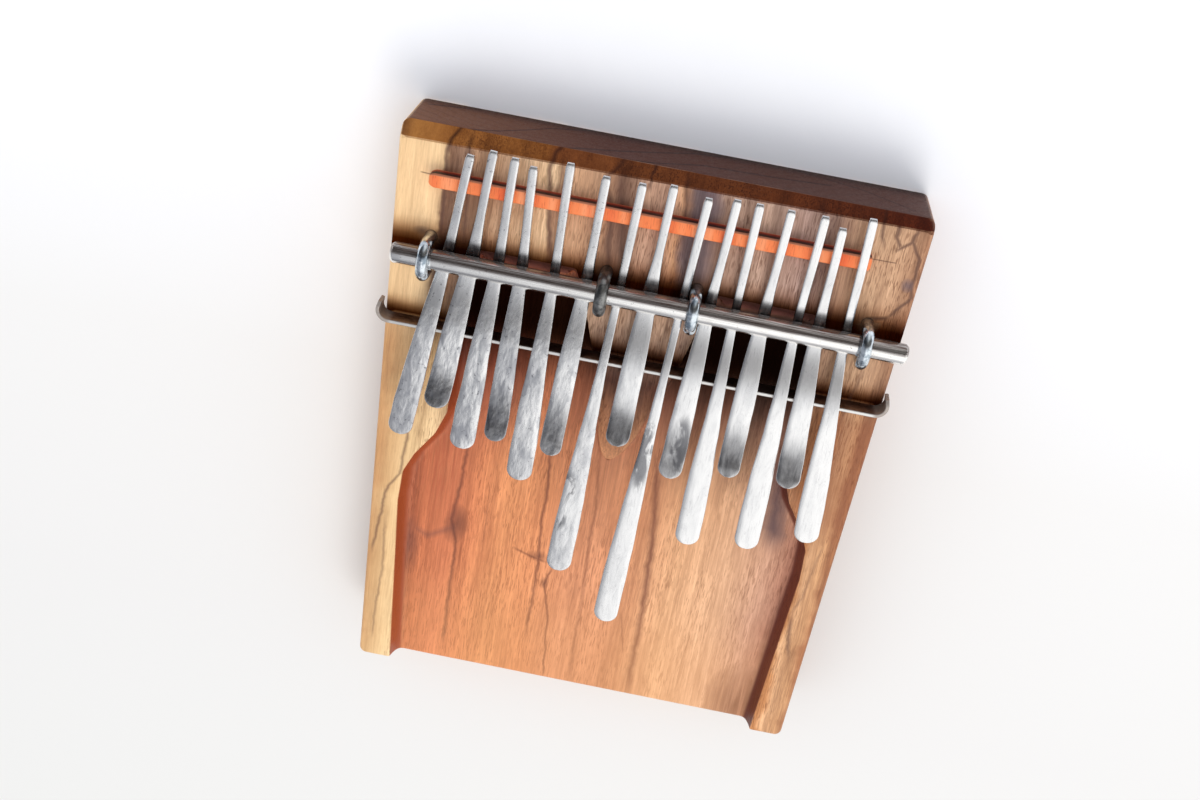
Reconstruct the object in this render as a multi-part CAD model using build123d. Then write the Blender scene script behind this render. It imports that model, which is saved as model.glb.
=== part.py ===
from build123d import *
import math
import os

# Fifteen-key mbira: a solid hollowed soundboard, two bridges, a pressure bar held
# down by four U-bolts, and fifteen forged steel tines.
#
# Units are millimetres.  +Z is up, +X is the player's right and +Y points away
# from the player, towards the back bridge.  The origin is on the centre line of
# the underside of the soundboard, 100 in front of its rear face.

# Soundboard
BOARD_REAR_Y = 100.0
BOARD_FRONT_Y = -101.0
BOARD_WIDTH_REAR = 169.8
BOARD_WIDTH_FRONT = 157.0
BOARD_THICKNESS = 30.0
BOARD_CORNER_R = 2.5
REAR_CHAMFER = 4.0
TOP_EDGE_R = 1.2
BOTTOM_EDGE_R = 0.8

# Recess carved into the top, open at the front
RECESS_DEPTH = 6.8
RECESS_REAR_Y = 62.5
RECESS_HALF_REAR = 57.5
RECESS_HALF_WAIST = 58.6
RECESS_HALF_SHOULDER = 70.6
RECESS_HALF_FRONT = 67.3
WAIST_Y = 2.0
SHOULDER_Y = -22.0
WALL_TAPER = 14.0

# Tongue left standing in the middle of the recess, ramping down to the floor
TONGUE_TIP_X = -2.0
TONGUE_TIP_Y = -6.5
RAMP_START_Y = 26.0

# Back bridge: a wooden strip under the rear part of the tines
BACK_BRIDGE_Y = 84.0
BACK_BRIDGE_X0 = -73.2
BACK_BRIDGE_X1 = 66.6
BACK_BRIDGE_WIDTH = 4.8
BACK_BRIDGE_HEIGHT = 4.7
CROWN_R = 1.8
CROWN_SEAT = 0.28

# Front bridge: a steel strip standing on edge, its ends hooked towards the rear
BRIDGE_Y = 35.0
BRIDGE_HEIGHT = 7.5
BRIDGE_THICKNESS = 1.2
BRIDGE_X0 = -84.2
BRIDGE_X1 = 83.6
HOOK_R = 3.6
HOOK_TAIL = 3.0
HOOK_LEAN = 12.0

# Pressure bar
BAR_DIAMETER = 7.0
BAR_X0 = -82.0
BAR_X1 = 85.5
BAR_Y = 58.0
BAR_SKEW = -0.45
BAR_CENTRE_Z = BOARD_THICKNESS + 6.0
BAR_END_CHAMFER = 0.9

# U-bolts, washers and nuts (M4)
U_BOLT_X = [-70.9, -13.3, 16.2, 71.6]
WIRE_DIAMETER = 4.0
LOOP_CLEARANCE = 0.05
LEG_END_Z = 1.2
LEG_HOLE = 4.6
COUNTERBORE = 10.0
COUNTERBORE_DEPTH = 7.0
WASHER_OUTER = 9.0
WASHER_THICKNESS = 0.8
NUT_ACROSS_FLATS = 7.0
NUT_HEIGHT = 3.2
THREAD_CLEARANCE = 0.03

# Tines: side profile shared by all of them
BRIDGE_SEAT = 0.34
PLAY_GAP = 0.6
TINE_REAR_WIDTH = 2.9
REAR_THICKNESS = 2.0
BAR_THICKNESS = 1.4
BRIDGE_THICKNESS_OF_TINE = 1.3
PADDLE_THICKNESS = 1.0
FREE_SLOPE = 0.15
CURL_RISE = 3.5
REAR_SLOPE = 0.14
TIP_ROUND = 0.42

# One row per tine, from the left:
# x and y of the rear end, x and y of the tip, then the widths at the bar, at the
# front bridge and across the paddle, and whether the short paddle curls upwards.
TINES = [
    (-60.5, 95.4, -71.6, -1.2, 3.8, 6.4, 8.2, False),
    (-53.5, 98.1, -60.4, 11.5, 4.9, 7.5, 8.3, True),
    (-46.6, 97.2, -50.2, -2.1, 3.9, 6.4, 8.4, False),
    (-40.7, 95.5, -39.4, 4.2, 3.9, 6.4, 7.3, True),
    (-29.5, 99.0, -29.7, -9.0, 3.4, 5.5, 8.6, False),
    (-18.0, 96.9, -20.8, 3.1, 4.1, 6.6, 7.3, True),
    (-6.7, 96.9, -11.5, -37.7, 2.8, 3.2, 8.4, False),
    (2.9, 98.2, 0.1, 10.5, 5.3, 7.5, 7.9, True),
    (14.1, 96.2, 7.3, -52.5, 2.8, 2.8, 8.1, False),
    (22.8, 97.5, 19.0, 3.3, 4.0, 6.5, 7.8, True),
    (29.8, 97.5, 29.2, -19.7, 2.9, 4.2, 8.2, False),
    (39.6, 97.4, 37.6, 7.5, 4.4, 7.1, 7.4, True),
    (50.1, 97.6, 48.6, -17.2, 3.1, 4.7, 8.2, False),
    (56.1, 94.8, 57.3, 7.7, 4.2, 6.7, 8.0, True),
    (64.4, 99.7, 67.5, -11.1, 3.0, 4.9, 8.4, False),
]

BOARD_TOP = BOARD_THICKNESS
RECESS_FLOOR = BOARD_TOP - RECESS_DEPTH
BRIDGE_TOP = BOARD_TOP + BRIDGE_HEIGHT
BACK_BRIDGE_TOP = BOARD_TOP + BACK_BRIDGE_HEIGHT
LEG_OFFSET = BAR_DIAMETER / 2 + LOOP_CLEARANCE + WIRE_DIAMETER / 2


def bar_y(x):
    """Y of the pressure bar's axis at x; the bar lies very slightly askew."""
    return BAR_Y + x * math.tan(math.radians(BAR_SKEW))


def leg_positions():
    """X, Y of the eight U-bolt legs."""
    spots = []
    for x in U_BOLT_X:
        for side in (-1, 1):
            spots.append((x, bar_y(x) + side * LEG_OFFSET))
    return spots


def board_blank():
    """Tapered block with its edges eased and the top rear edge chamfered."""
    front, rear = BOARD_FRONT_Y, BOARD_REAR_Y
    corners = [
        (-BOARD_WIDTH_FRONT / 2, front),
        (BOARD_WIDTH_FRONT / 2, front),
        (BOARD_WIDTH_REAR / 2, rear),
        (-BOARD_WIDTH_REAR / 2, rear),
    ]
    with BuildSketch() as plan:
        with BuildLine():
            Polyline(*corners, close=True)
        make_face()
        fillet(plan.vertices(), BOARD_CORNER_R)
    slope = BOARD_THICKNESS - REAR_CHAMFER
    side = [(front, 0), (rear, 0), (rear, slope), (rear - REAR_CHAMFER, BOARD_THICKNESS)]
    side.append((front, BOARD_THICKNESS))
    with BuildSketch(Plane.YZ) as profile:
        with BuildLine():
            Polyline(*side, close=True)
        make_face()
    blank = extrude(plan.sketch, BOARD_THICKNESS) & extrude(profile.sketch, BOARD_WIDTH_REAR, both=True)
    blank = fillet(blank.faces().sort_by(Axis.Z)[-1].edges(), TOP_EDGE_R)
    return fillet(blank.faces().sort_by(Axis.Z)[0].edges(), BOTTOM_EDGE_R)


def recess_outline():
    """Plan outline of the recess, carried past the open front."""
    front = BOARD_FRONT_Y - 4.0
    points = [
        (-RECESS_HALF_FRONT, front),
        (-RECESS_HALF_SHOULDER, SHOULDER_Y),
        (-RECESS_HALF_WAIST, WAIST_Y),
        (-RECESS_HALF_REAR, RECESS_REAR_Y),
        (RECESS_HALF_REAR, RECESS_REAR_Y),
        (RECESS_HALF_WAIST, WAIST_Y),
        (RECESS_HALF_SHOULDER, SHOULDER_Y),
        (RECESS_HALF_FRONT, front),
    ]
    with BuildSketch() as outline:
        with BuildLine():
            Polyline(*points, close=True)
        make_face()
        rounded = outline.vertices().filter_by(lambda v: v.Y > front + 1.0)
        fillet(rounded, 4.0)
    return outline.sketch


def tongue():
    """The island of wood left between the two hollows, ramped at its front."""
    rear = RECESS_REAR_Y + 1.0
    with BuildSketch() as plan:
        with BuildLine():
            Spline(
                (-23.5, rear),
                (-17.1, 47.0),
                (-13.5, 36.0),
                (-8.8, 24.0),
                (-7.0, 7.0),
                (TONGUE_TIP_X, TONGUE_TIP_Y),
                (5.5, 5.0),
                (10.0, 20.0),
                (15.6, 36.0),
                (18.3, 47.0),
                (22.5, rear),
            )
            Line((22.5, rear), (-23.5, rear))
        make_face()
    block = extrude(Pos(0, 0, RECESS_FLOOR - 1.0) * plan.sketch, RECESS_DEPTH + 2.0)
    with BuildSketch(Plane.YZ) as ramp:
        with BuildLine():
            top = Line((rear, BOARD_TOP + 2.0), (RAMP_START_Y, BOARD_TOP + 2.0))
            drop = Line(top @ 1, (RAMP_START_Y, BOARD_TOP))
            slope = TangentArc(drop @ 1, (TONGUE_TIP_Y, RECESS_FLOOR), tangent=(-1, 0))
            Polyline(slope @ 1, (TONGUE_TIP_Y, RECESS_FLOOR - 2.0), (rear, RECESS_FLOOR - 2.0), top @ 0)
        make_face()
    return block & extrude(ramp.sketch, 40.0, both=True)


def soundboard():
    """The solid board: recess, tongue, U-bolt holes and nut counterbores."""
    cutter = extrude(Pos(0, 0, BOARD_TOP) * recess_outline(), -RECESS_DEPTH, taper=WALL_TAPER)
    cutter = cutter - tongue()
    board = board_blank() - cutter
    for x, y in leg_positions():
        hole = Cylinder(LEG_HOLE / 2, BOARD_THICKNESS + 2, align=(Align.CENTER, Align.CENTER, Align.MIN))
        bore = Cylinder(COUNTERBORE / 2, COUNTERBORE_DEPTH + 1, align=(Align.CENTER, Align.CENTER, Align.MIN))
        board = board - Pos(x, y, -1) * hole
        board = board - Pos(x, y, -1) * bore
    return board


def back_bridge():
    """Wooden strip with a rounded crown and pointed left end."""
    x0, x1 = BACK_BRIDGE_X0, BACK_BRIDGE_X1
    half = BACK_BRIDGE_WIDTH / 2
    plan = [(x0, 0), (x0 + 3.0, -half), (x1 - 0.8, -half), (x1, -half + 0.8)]
    plan += [(x1, half - 0.8), (x1 - 0.8, half), (x0 + 3.0, half)]
    with BuildPart() as strip:
        with BuildSketch(Plane.XY.offset(BOARD_TOP)):
            with Locations((0, BACK_BRIDGE_Y)):
                Polygon(*plan, align=None)
        extrude(amount=BACK_BRIDGE_HEIGHT)
        top = strip.faces().sort_by(Axis.Z)[-1]
        crown = top.edges().filter_by(lambda e: e.length > 50.0)
        fillet(crown, CROWN_R)
    return strip.part


def front_bridge():
    """Steel strip on edge, hooked rearwards round both sides of the board."""
    inset = HOOK_TAIL * math.tan(math.radians(HOOK_LEAN))
    with BuildSketch(Plane.XY.offset(BOARD_TOP)) as section:
        with BuildLine():
            left_tail = Line(
                (BRIDGE_X0 + 0.6 + inset, BRIDGE_Y + HOOK_R + HOOK_TAIL),
                (BRIDGE_X0 + 0.6, BRIDGE_Y + HOOK_R),
            )
            left_hook = RadiusArc(left_tail @ 1, (BRIDGE_X0 + 0.6 + HOOK_R, BRIDGE_Y), -HOOK_R)
            span = Line(left_hook @ 1, (BRIDGE_X1 - 0.6 - HOOK_R, BRIDGE_Y))
            right_hook = RadiusArc(span @ 1, (BRIDGE_X1 - 0.6, BRIDGE_Y + HOOK_R), -HOOK_R)
            Line(right_hook @ 1, (BRIDGE_X1 - 0.6 - inset, BRIDGE_Y + HOOK_R + HOOK_TAIL))
            offset(amount=BRIDGE_THICKNESS / 2)
        make_face()
    return extrude(section.sketch, BRIDGE_HEIGHT)


def pressure_bar():
    """Round steel rod lying across all the tines."""
    length = BAR_X1 - BAR_X0
    rod = Cylinder(BAR_DIAMETER / 2, length)
    rod = chamfer(rod.edges().filter_by(GeomType.CIRCLE), BAR_END_CHAMFER)
    middle = (BAR_X0 + BAR_X1) / 2
    place = Pos(middle, bar_y(middle), BAR_CENTRE_Z) * Rot(0, 0, BAR_SKEW)
    return place * Rot(0, 90, 0) * rod


def u_bolt(x):
    """Wire loop over the pressure bar with two threaded legs."""
    leg_length = BAR_CENTRE_Z - LEG_END_Z
    with BuildPart() as bolt:
        with BuildLine(Plane.YZ) as path:
            left = Line((-LEG_OFFSET, -leg_length), (-LEG_OFFSET, 0))
            over = RadiusArc(left @ 1, (LEG_OFFSET, 0), LEG_OFFSET)
            Line(over @ 1, (LEG_OFFSET, -leg_length))
        with BuildSketch(Plane((0, -LEG_OFFSET, -leg_length), z_dir=(0, 0, 1))):
            Circle(WIRE_DIAMETER / 2)
        sweep(path=path.wires()[0])
        ends = bolt.edges().filter_by(GeomType.CIRCLE).group_by(Axis.Z)[0]
        chamfer(ends, 0.4)
    return Pos(x, bar_y(x), BAR_CENTRE_Z) * bolt.part


def washer():
    """Flat ring that bears on the bottom of a counterbore."""
    ring = Cylinder(WASHER_OUTER / 2, WASHER_THICKNESS)
    return ring - Cylinder(LEG_HOLE / 2 - 0.1, WASHER_THICKNESS)


def nut():
    """Plain hexagon nut, its bore just clear of the leg."""
    with BuildSketch() as hexagon:
        RegularPolygon(NUT_ACROSS_FLATS / 2, 6, major_radius=False)
    body = extrude(hexagon.sketch, NUT_HEIGHT / 2, both=True)
    cone = Cone(NUT_ACROSS_FLATS / 2 + 2.4, NUT_ACROSS_FLATS / 2 - 0.1, NUT_HEIGHT)
    body = body & cone & (Rot(180, 0, 0) * cone)
    return body - Cylinder(WIRE_DIAMETER / 2 + THREAD_CLEARANCE, NUT_HEIGHT)


def on_each_leg(piece, z):
    """Separate copies of a piece centred at height z on the eight legs."""
    return Compound(children=[Pos(x, y, z) * piece for x, y in leg_positions()])


def tine_plan(length, reach, bar_back, rear_back, widths):
    """Flat outline; the local origin is over the front bridge, +Y to the rear."""
    at_bar, at_bridge, paddle = widths
    tip = -length
    full = tip + reach
    neck = bar_back + 18.0
    root = TINE_REAR_WIDTH / 2
    flare = [(root, neck), (at_bar / 2, bar_back), (at_bridge / 2, 0.0), (paddle / 2, full)]
    mirrored = [(-x, y) for x, y in reversed(flare)]
    rear_corners = [(root, neck), (root, rear_back - 0.9), (root - 0.7, rear_back)]
    rear_corners += [(-x, y) for x, y in reversed(rear_corners)]
    with BuildSketch() as plan:
        with BuildLine():
            Spline(*flare, tangents=[(0, -1), (0, -1)])
            Polyline((paddle / 2, full), (paddle / 2, tip), (-paddle / 2, tip), (-paddle / 2, full))
            Spline(*mirrored, tangents=[(0, 1), (0, 1)])
            Polyline(*rear_corners)
        make_face()
        fillet(plan.vertices().group_by(Axis.Y)[0], TIP_ROUND * paddle)
    return plan.sketch


def tine_profile(length, bar_back, back_back, rear_back, curled):
    """Side outline in the local Y-Z plane, Z measured from the board's top."""
    bridge_mid = BRIDGE_HEIGHT + BRIDGE_SEAT + BRIDGE_THICKNESS_OF_TINE / 2
    bar_mid = BAR_CENTRE_Z - BAR_DIAMETER / 2 - BOARD_TOP - PLAY_GAP - BAR_THICKNESS / 2
    back_mid = BACK_BRIDGE_HEIGHT + CROWN_SEAT + REAR_THICKNESS / 2
    rear_mid = back_mid + REAR_SLOPE * (rear_back - back_back)
    half_mid = bridge_mid + FREE_SLOPE * 0.5 * length
    tip_mid = bridge_mid + FREE_SLOPE * length
    if curled:
        half_mid += 0.22 * CURL_RISE
        tip_mid += CURL_RISE
    stations = [
        (-length - 0.5, tip_mid, PADDLE_THICKNESS),
        (-0.5 * length, half_mid, PADDLE_THICKNESS + 0.1),
        (0.0, bridge_mid, BRIDGE_THICKNESS_OF_TINE),
        (bar_back, bar_mid, BAR_THICKNESS),
        (back_back, back_mid, REAR_THICKNESS),
        (rear_back, rear_mid, REAR_THICKNESS),
    ]
    upper = [(y, z + t / 2) for y, z, t in stations]
    lower = [(y, z - t / 2) for y, z, t in reversed(stations)]
    with BuildSketch(Plane.YZ) as profile:
        with BuildLine():
            Spline(*upper)
            Line(upper[-1], lower[0])
            Spline(*lower)
            Line(lower[-1], upper[0])
        make_face()
    return profile.sketch


def tine(row):
    """One forged tine, fanned about its own line and set on the bridges."""
    x_rear, y_rear, x_tip, y_tip, at_bar, at_bridge, paddle, curled = row
    lean = math.atan2(x_rear - x_tip, y_rear - y_tip)
    stretch = 1.0 / math.cos(lean)
    x_bridge = x_rear + (x_tip - x_rear) * (y_rear - BRIDGE_Y) / (y_rear - y_tip)
    length = (BRIDGE_Y - y_tip) * stretch
    rear_back = (y_rear - BRIDGE_Y) * stretch
    bar_back = (bar_y(x_bridge) - BRIDGE_Y) * stretch
    back_back = (BACK_BRIDGE_Y - BRIDGE_Y) * stretch
    reach = min(0.3 * length, 14.0)
    plan = tine_plan(length, reach, bar_back, rear_back, (at_bar, at_bridge, paddle))
    profile = tine_profile(length, bar_back, back_back, rear_back, curled)
    body = extrude(profile, 6.0, both=True) & extrude(plan, 30.0)
    return Pos(x_bridge, BRIDGE_Y, BOARD_TOP) * Rot(0, 0, -math.degrees(lean)) * body


def save(node, shape):
    """Write one named piece."""
    shape.label = node
    export_step(shape, "parts/" + node + ".step")


os.makedirs("parts", exist_ok=True)
save("soundboard", soundboard())
save("back_bridge", back_bridge())
save("front_bridge", front_bridge())
save("pressure_bar", pressure_bar())
for number, bolt_x in enumerate(U_BOLT_X, start=1):
    save("u_bolt_%d" % number, u_bolt(bolt_x))
washer_z = COUNTERBORE_DEPTH - WASHER_THICKNESS / 2 - 0.02
nut_z = COUNTERBORE_DEPTH - WASHER_THICKNESS - NUT_HEIGHT / 2 - 0.04
save("washers", on_each_leg(washer(), washer_z))
save("nuts", on_each_leg(nut(), nut_z))
for number, row in enumerate(TINES, start=1):
    save("tine_%02d" % number, tine(row))
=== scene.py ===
import bmesh
import bpy
import math
import numpy as np
from mathutils import Euler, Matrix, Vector, noise
from mathutils.geometry import delaunay_2d_cdt


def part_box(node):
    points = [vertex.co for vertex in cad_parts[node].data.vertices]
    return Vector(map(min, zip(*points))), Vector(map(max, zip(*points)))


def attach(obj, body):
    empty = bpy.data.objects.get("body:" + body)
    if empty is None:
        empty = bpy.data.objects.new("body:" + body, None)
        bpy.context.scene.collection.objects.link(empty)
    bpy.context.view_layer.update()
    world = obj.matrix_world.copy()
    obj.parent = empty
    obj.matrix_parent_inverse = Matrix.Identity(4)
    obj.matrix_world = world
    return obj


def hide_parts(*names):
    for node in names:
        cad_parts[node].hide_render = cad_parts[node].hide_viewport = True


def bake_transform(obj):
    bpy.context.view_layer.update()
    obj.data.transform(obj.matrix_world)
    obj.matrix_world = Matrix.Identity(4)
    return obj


# A fifteen-key mbira.  Everything below is worked in millimetres in the frame of
# the CAD and scaled to metres when a mesh is made.

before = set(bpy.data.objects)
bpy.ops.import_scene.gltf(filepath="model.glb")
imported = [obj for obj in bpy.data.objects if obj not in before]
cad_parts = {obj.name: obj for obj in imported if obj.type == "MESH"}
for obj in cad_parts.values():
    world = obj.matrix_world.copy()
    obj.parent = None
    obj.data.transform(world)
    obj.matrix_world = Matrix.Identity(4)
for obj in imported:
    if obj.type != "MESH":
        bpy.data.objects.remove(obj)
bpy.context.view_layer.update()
MM = 0.001
ROOT = "soundboard_group"


def node_box(node):
    """Lowest and highest corner of a CAD node."""
    return [[round(c / MM, 2) for c in corner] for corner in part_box(node)]


# Shared dimensions
(_, FRONT_Y, _), (_, REAR_Y, BOARD_TOP) = node_box("soundboard")
BRIDGE_HEIGHT = node_box("front_bridge")[1][2] - BOARD_TOP
(_, BACK_FRONT_Y, _), (_, BACK_REAR_Y, BACK_TOP) = node_box("back_bridge")
BACK_Y = (BACK_FRONT_Y + BACK_REAR_Y) / 2
BACK_HEIGHT = round(BACK_TOP - BOARD_TOP, 2)
FLOOR_Z = 23.2
WIDTH_REAR = 169.8
WIDTH_FRONT = 157.0
BRIDGE_Y = 35.0
BAR_R = 3.5
BAR_Y = 58.0
BAR_SKEW = math.radians(-0.45)
BAR_Z = 36.0
BAR_X0, BAR_X1 = -82.0, 85.5
LEG_OFFSET = 5.55
WIRE_R = 2.0
U_BOLT_X = [-70.9, -13.3, 16.2, 71.6]
DULL_U_BOLT = 2

# x and y of the rear end, x and y of the tip, widths at the bar, the front bridge and the
# paddle, and for a paddle that curls upwards how dark its tip is, forge scale with painted dark reflection
# (0 for a flat one)
TINES = [
    (-60.5, 95.4, -71.6, -1.2, 3.8, 6.4, 8.2, 0.0),
    (-53.5, 98.1, -60.4, 11.5, 4.9, 7.5, 8.3, 0.62),
    (-46.6, 97.2, -50.2, -2.1, 3.9, 6.4, 8.4, 0.0),
    (-40.7, 95.5, -39.4, 4.2, 3.9, 6.4, 7.3, 0.95),
    (-29.5, 99.0, -29.7, -9.0, 3.4, 5.5, 8.6, 0.0),
    (-18.0, 96.9, -20.8, 3.1, 4.1, 6.6, 7.3, 0.9),
    (-6.7, 96.9, -11.5, -37.7, 2.8, 3.2, 8.4, 0.0),
    (2.9, 98.2, 0.1, 10.5, 5.3, 7.5, 7.9, 1.0),
    (14.1, 96.2, 7.3, -52.5, 2.8, 2.8, 8.1, 0.0),
    (22.8, 97.5, 19.0, 3.3, 4.0, 6.5, 7.8, 0.75),
    (29.8, 97.5, 29.2, -19.7, 2.9, 4.2, 8.2, 0.0),
    (39.6, 97.4, 37.6, 7.5, 4.4, 7.1, 7.4, 1.0),
    (50.1, 97.6, 48.6, -17.2, 3.1, 4.7, 8.2, 0.0),
    (56.1, 94.8, 57.3, 7.7, 4.2, 6.7, 8.0, 0.92),
    (64.4, 99.7, 67.5, -11.1, 3.0, 4.9, 8.4, 0.0),
]


def bar_y(x):
    """Y of the rod's axis at x."""
    return BAR_Y + x * math.tan(BAR_SKEW)


# ---------------------------------------------------------------- mesh helpers

def make_object(name, verts, faces, material, sharp_deg=40.0, attributes=None, weld=False):
    """Mesh object from points in mm, smooth shaded with creases kept sharp."""
    mesh = bpy.data.meshes.new(name)
    mesh.from_pydata([tuple(c * MM for c in v) for v in verts], [], faces)
    for key, values in (attributes or {}).items():
        layer = mesh.attributes.new(key, "FLOAT", "POINT")
        layer.data.foreach_set("value", np.asarray(values, dtype=np.float32))
    bm = bmesh.new()
    bm.from_mesh(mesh)
    if weld:
        bmesh.ops.remove_doubles(bm, verts=bm.verts, dist=2e-6)
    bmesh.ops.recalc_face_normals(bm, faces=bm.faces)
    limit = math.radians(sharp_deg)
    for edge in bm.edges:
        edge.smooth = edge.calc_face_angle(0.0) < limit
    for face in bm.faces:
        face.smooth = True
    bm.to_mesh(mesh)
    bm.free()
    obj = bpy.data.objects.new(name, mesh)
    bpy.context.scene.collection.objects.link(obj)
    mesh.materials.append(material)
    return obj


def loft(rings, close_start=True, close_end=True):
    """Faces that join equal rings of points in order, with fan caps."""
    verts = [p for ring in rings for p in ring]
    n = len(rings[0])
    faces = []
    for k in range(len(rings) - 1):
        for i in range(n):
            j = (i + 1) % n
            faces.append((k * n + i, k * n + j, (k + 1) * n + j, (k + 1) * n + i))
    for wanted, base in ((close_start, 0), (close_end, (len(rings) - 1) * n)):
        if wanted:
            verts.append(tuple(sum(p[a] for p in verts[base:base + n]) / n for a in range(3)))
            faces += [(base + i, base + (i + 1) % n, len(verts) - 1) for i in range(n)]
    return verts, faces


def merge(parts):
    """One vertex and face list from several."""
    verts, faces = [], []
    for v, f in parts:
        base = len(verts)
        verts += list(v)
        faces += [tuple(i + base for i in face) for face in f]
    return verts, faces


def smooth_curve(points, xs):
    """Natural cubic spline through (x, value) points, sampled at xs."""
    x = np.array([p[0] for p in points], float)
    y = np.array([p[1] for p in points], float)
    n = len(x)
    h = np.diff(x)
    a = np.eye(n)
    b = np.zeros(n)
    for i in range(1, n - 1):
        a[i, i - 1], a[i, i], a[i, i + 1] = h[i - 1], 2 * (h[i - 1] + h[i]), h[i]
        b[i] = 3 * ((y[i + 1] - y[i]) / h[i] - (y[i] - y[i - 1]) / h[i - 1])
    c = np.linalg.solve(a, b)
    k = np.clip(np.searchsorted(x, xs) - 1, 0, n - 2)
    t = xs - x[k]
    slope = (y[k + 1] - y[k]) / h[k] - h[k] * (2 * c[k] + c[k + 1]) / 3
    return y[k] + slope * t + c[k] * t ** 2 + (c[k + 1] - c[k]) / (3 * h[k]) * t ** 3


def smoothstep(lo, hi, x):
    """Smooth step from 0 at lo to 1 at hi; lo may be the larger."""
    t = np.clip((np.asarray(x, float) - lo) / (hi - lo), 0.0, 1.0)
    return t * t * (3 - 2 * t)


def in_loop(points, loop):
    """Which points lie inside a closed loop."""
    inside = np.zeros(len(points), bool)
    loop = np.array(loop)
    for p, q in zip(loop, np.roll(loop, -1, axis=0)):
        crosses = (p[1] > points[:, 1]) != (q[1] > points[:, 1])
        if p[1] != q[1]:
            at = p[0] + (points[:, 1] - p[1]) * (q[0] - p[0]) / (q[1] - p[1])
            inside ^= crosses & (points[:, 0] < at)
    return inside


def circle(x, y, r, n=32, turn=0.0):
    """Points round a circle, the first one turned from +X by an angle."""
    angles = [2 * math.pi * k / n + turn for k in range(n)]
    return [(x + r * math.cos(a), y + r * math.sin(a)) for a in angles]


def square_to(line):
    """Unit vector to the left of a flat line's direction, at each of its points."""
    pts = np.array(line)[:, :2]
    along = np.concatenate([pts[1:], pts[-1:]]) - np.concatenate([pts[:1], pts[:-1]])
    along /= np.hypot(*along.T)[:, None]
    return np.c_[-along[:, 1], along[:, 0]]


# ------------------------------------------------------------ material helpers

def rgb(r, g, b):
    """Linear colour from display values of 0 to 255."""
    def one(c):
        c /= 255.0
        return c / 12.92 if c <= 0.04045 else ((c + 0.055) / 1.055) ** 2.4
    return (one(r), one(g), one(b), 1.0)


def operator(kind, swapped=False):
    """Method that joins two values with a Math node."""
    if swapped:
        return lambda self, other: self.graph.op(kind, other, self)
    return lambda self, other: self.graph.op(kind, self, other)


class Value:
    """Output of a node, which takes part in arithmetic."""

    __add__, __radd__ = operator("ADD"), operator("ADD", True)
    __sub__, __rsub__ = operator("SUBTRACT"), operator("SUBTRACT", True)
    __mul__, __rmul__ = operator("MULTIPLY"), operator("MULTIPLY", True)
    __truediv__, __pow__ = operator("DIVIDE"), operator("POWER")

    def __init__(self, graph, socket):
        self.graph, self.socket = graph, socket

    def __abs__(self):
        return self.graph.op("ABSOLUTE", self)


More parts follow.
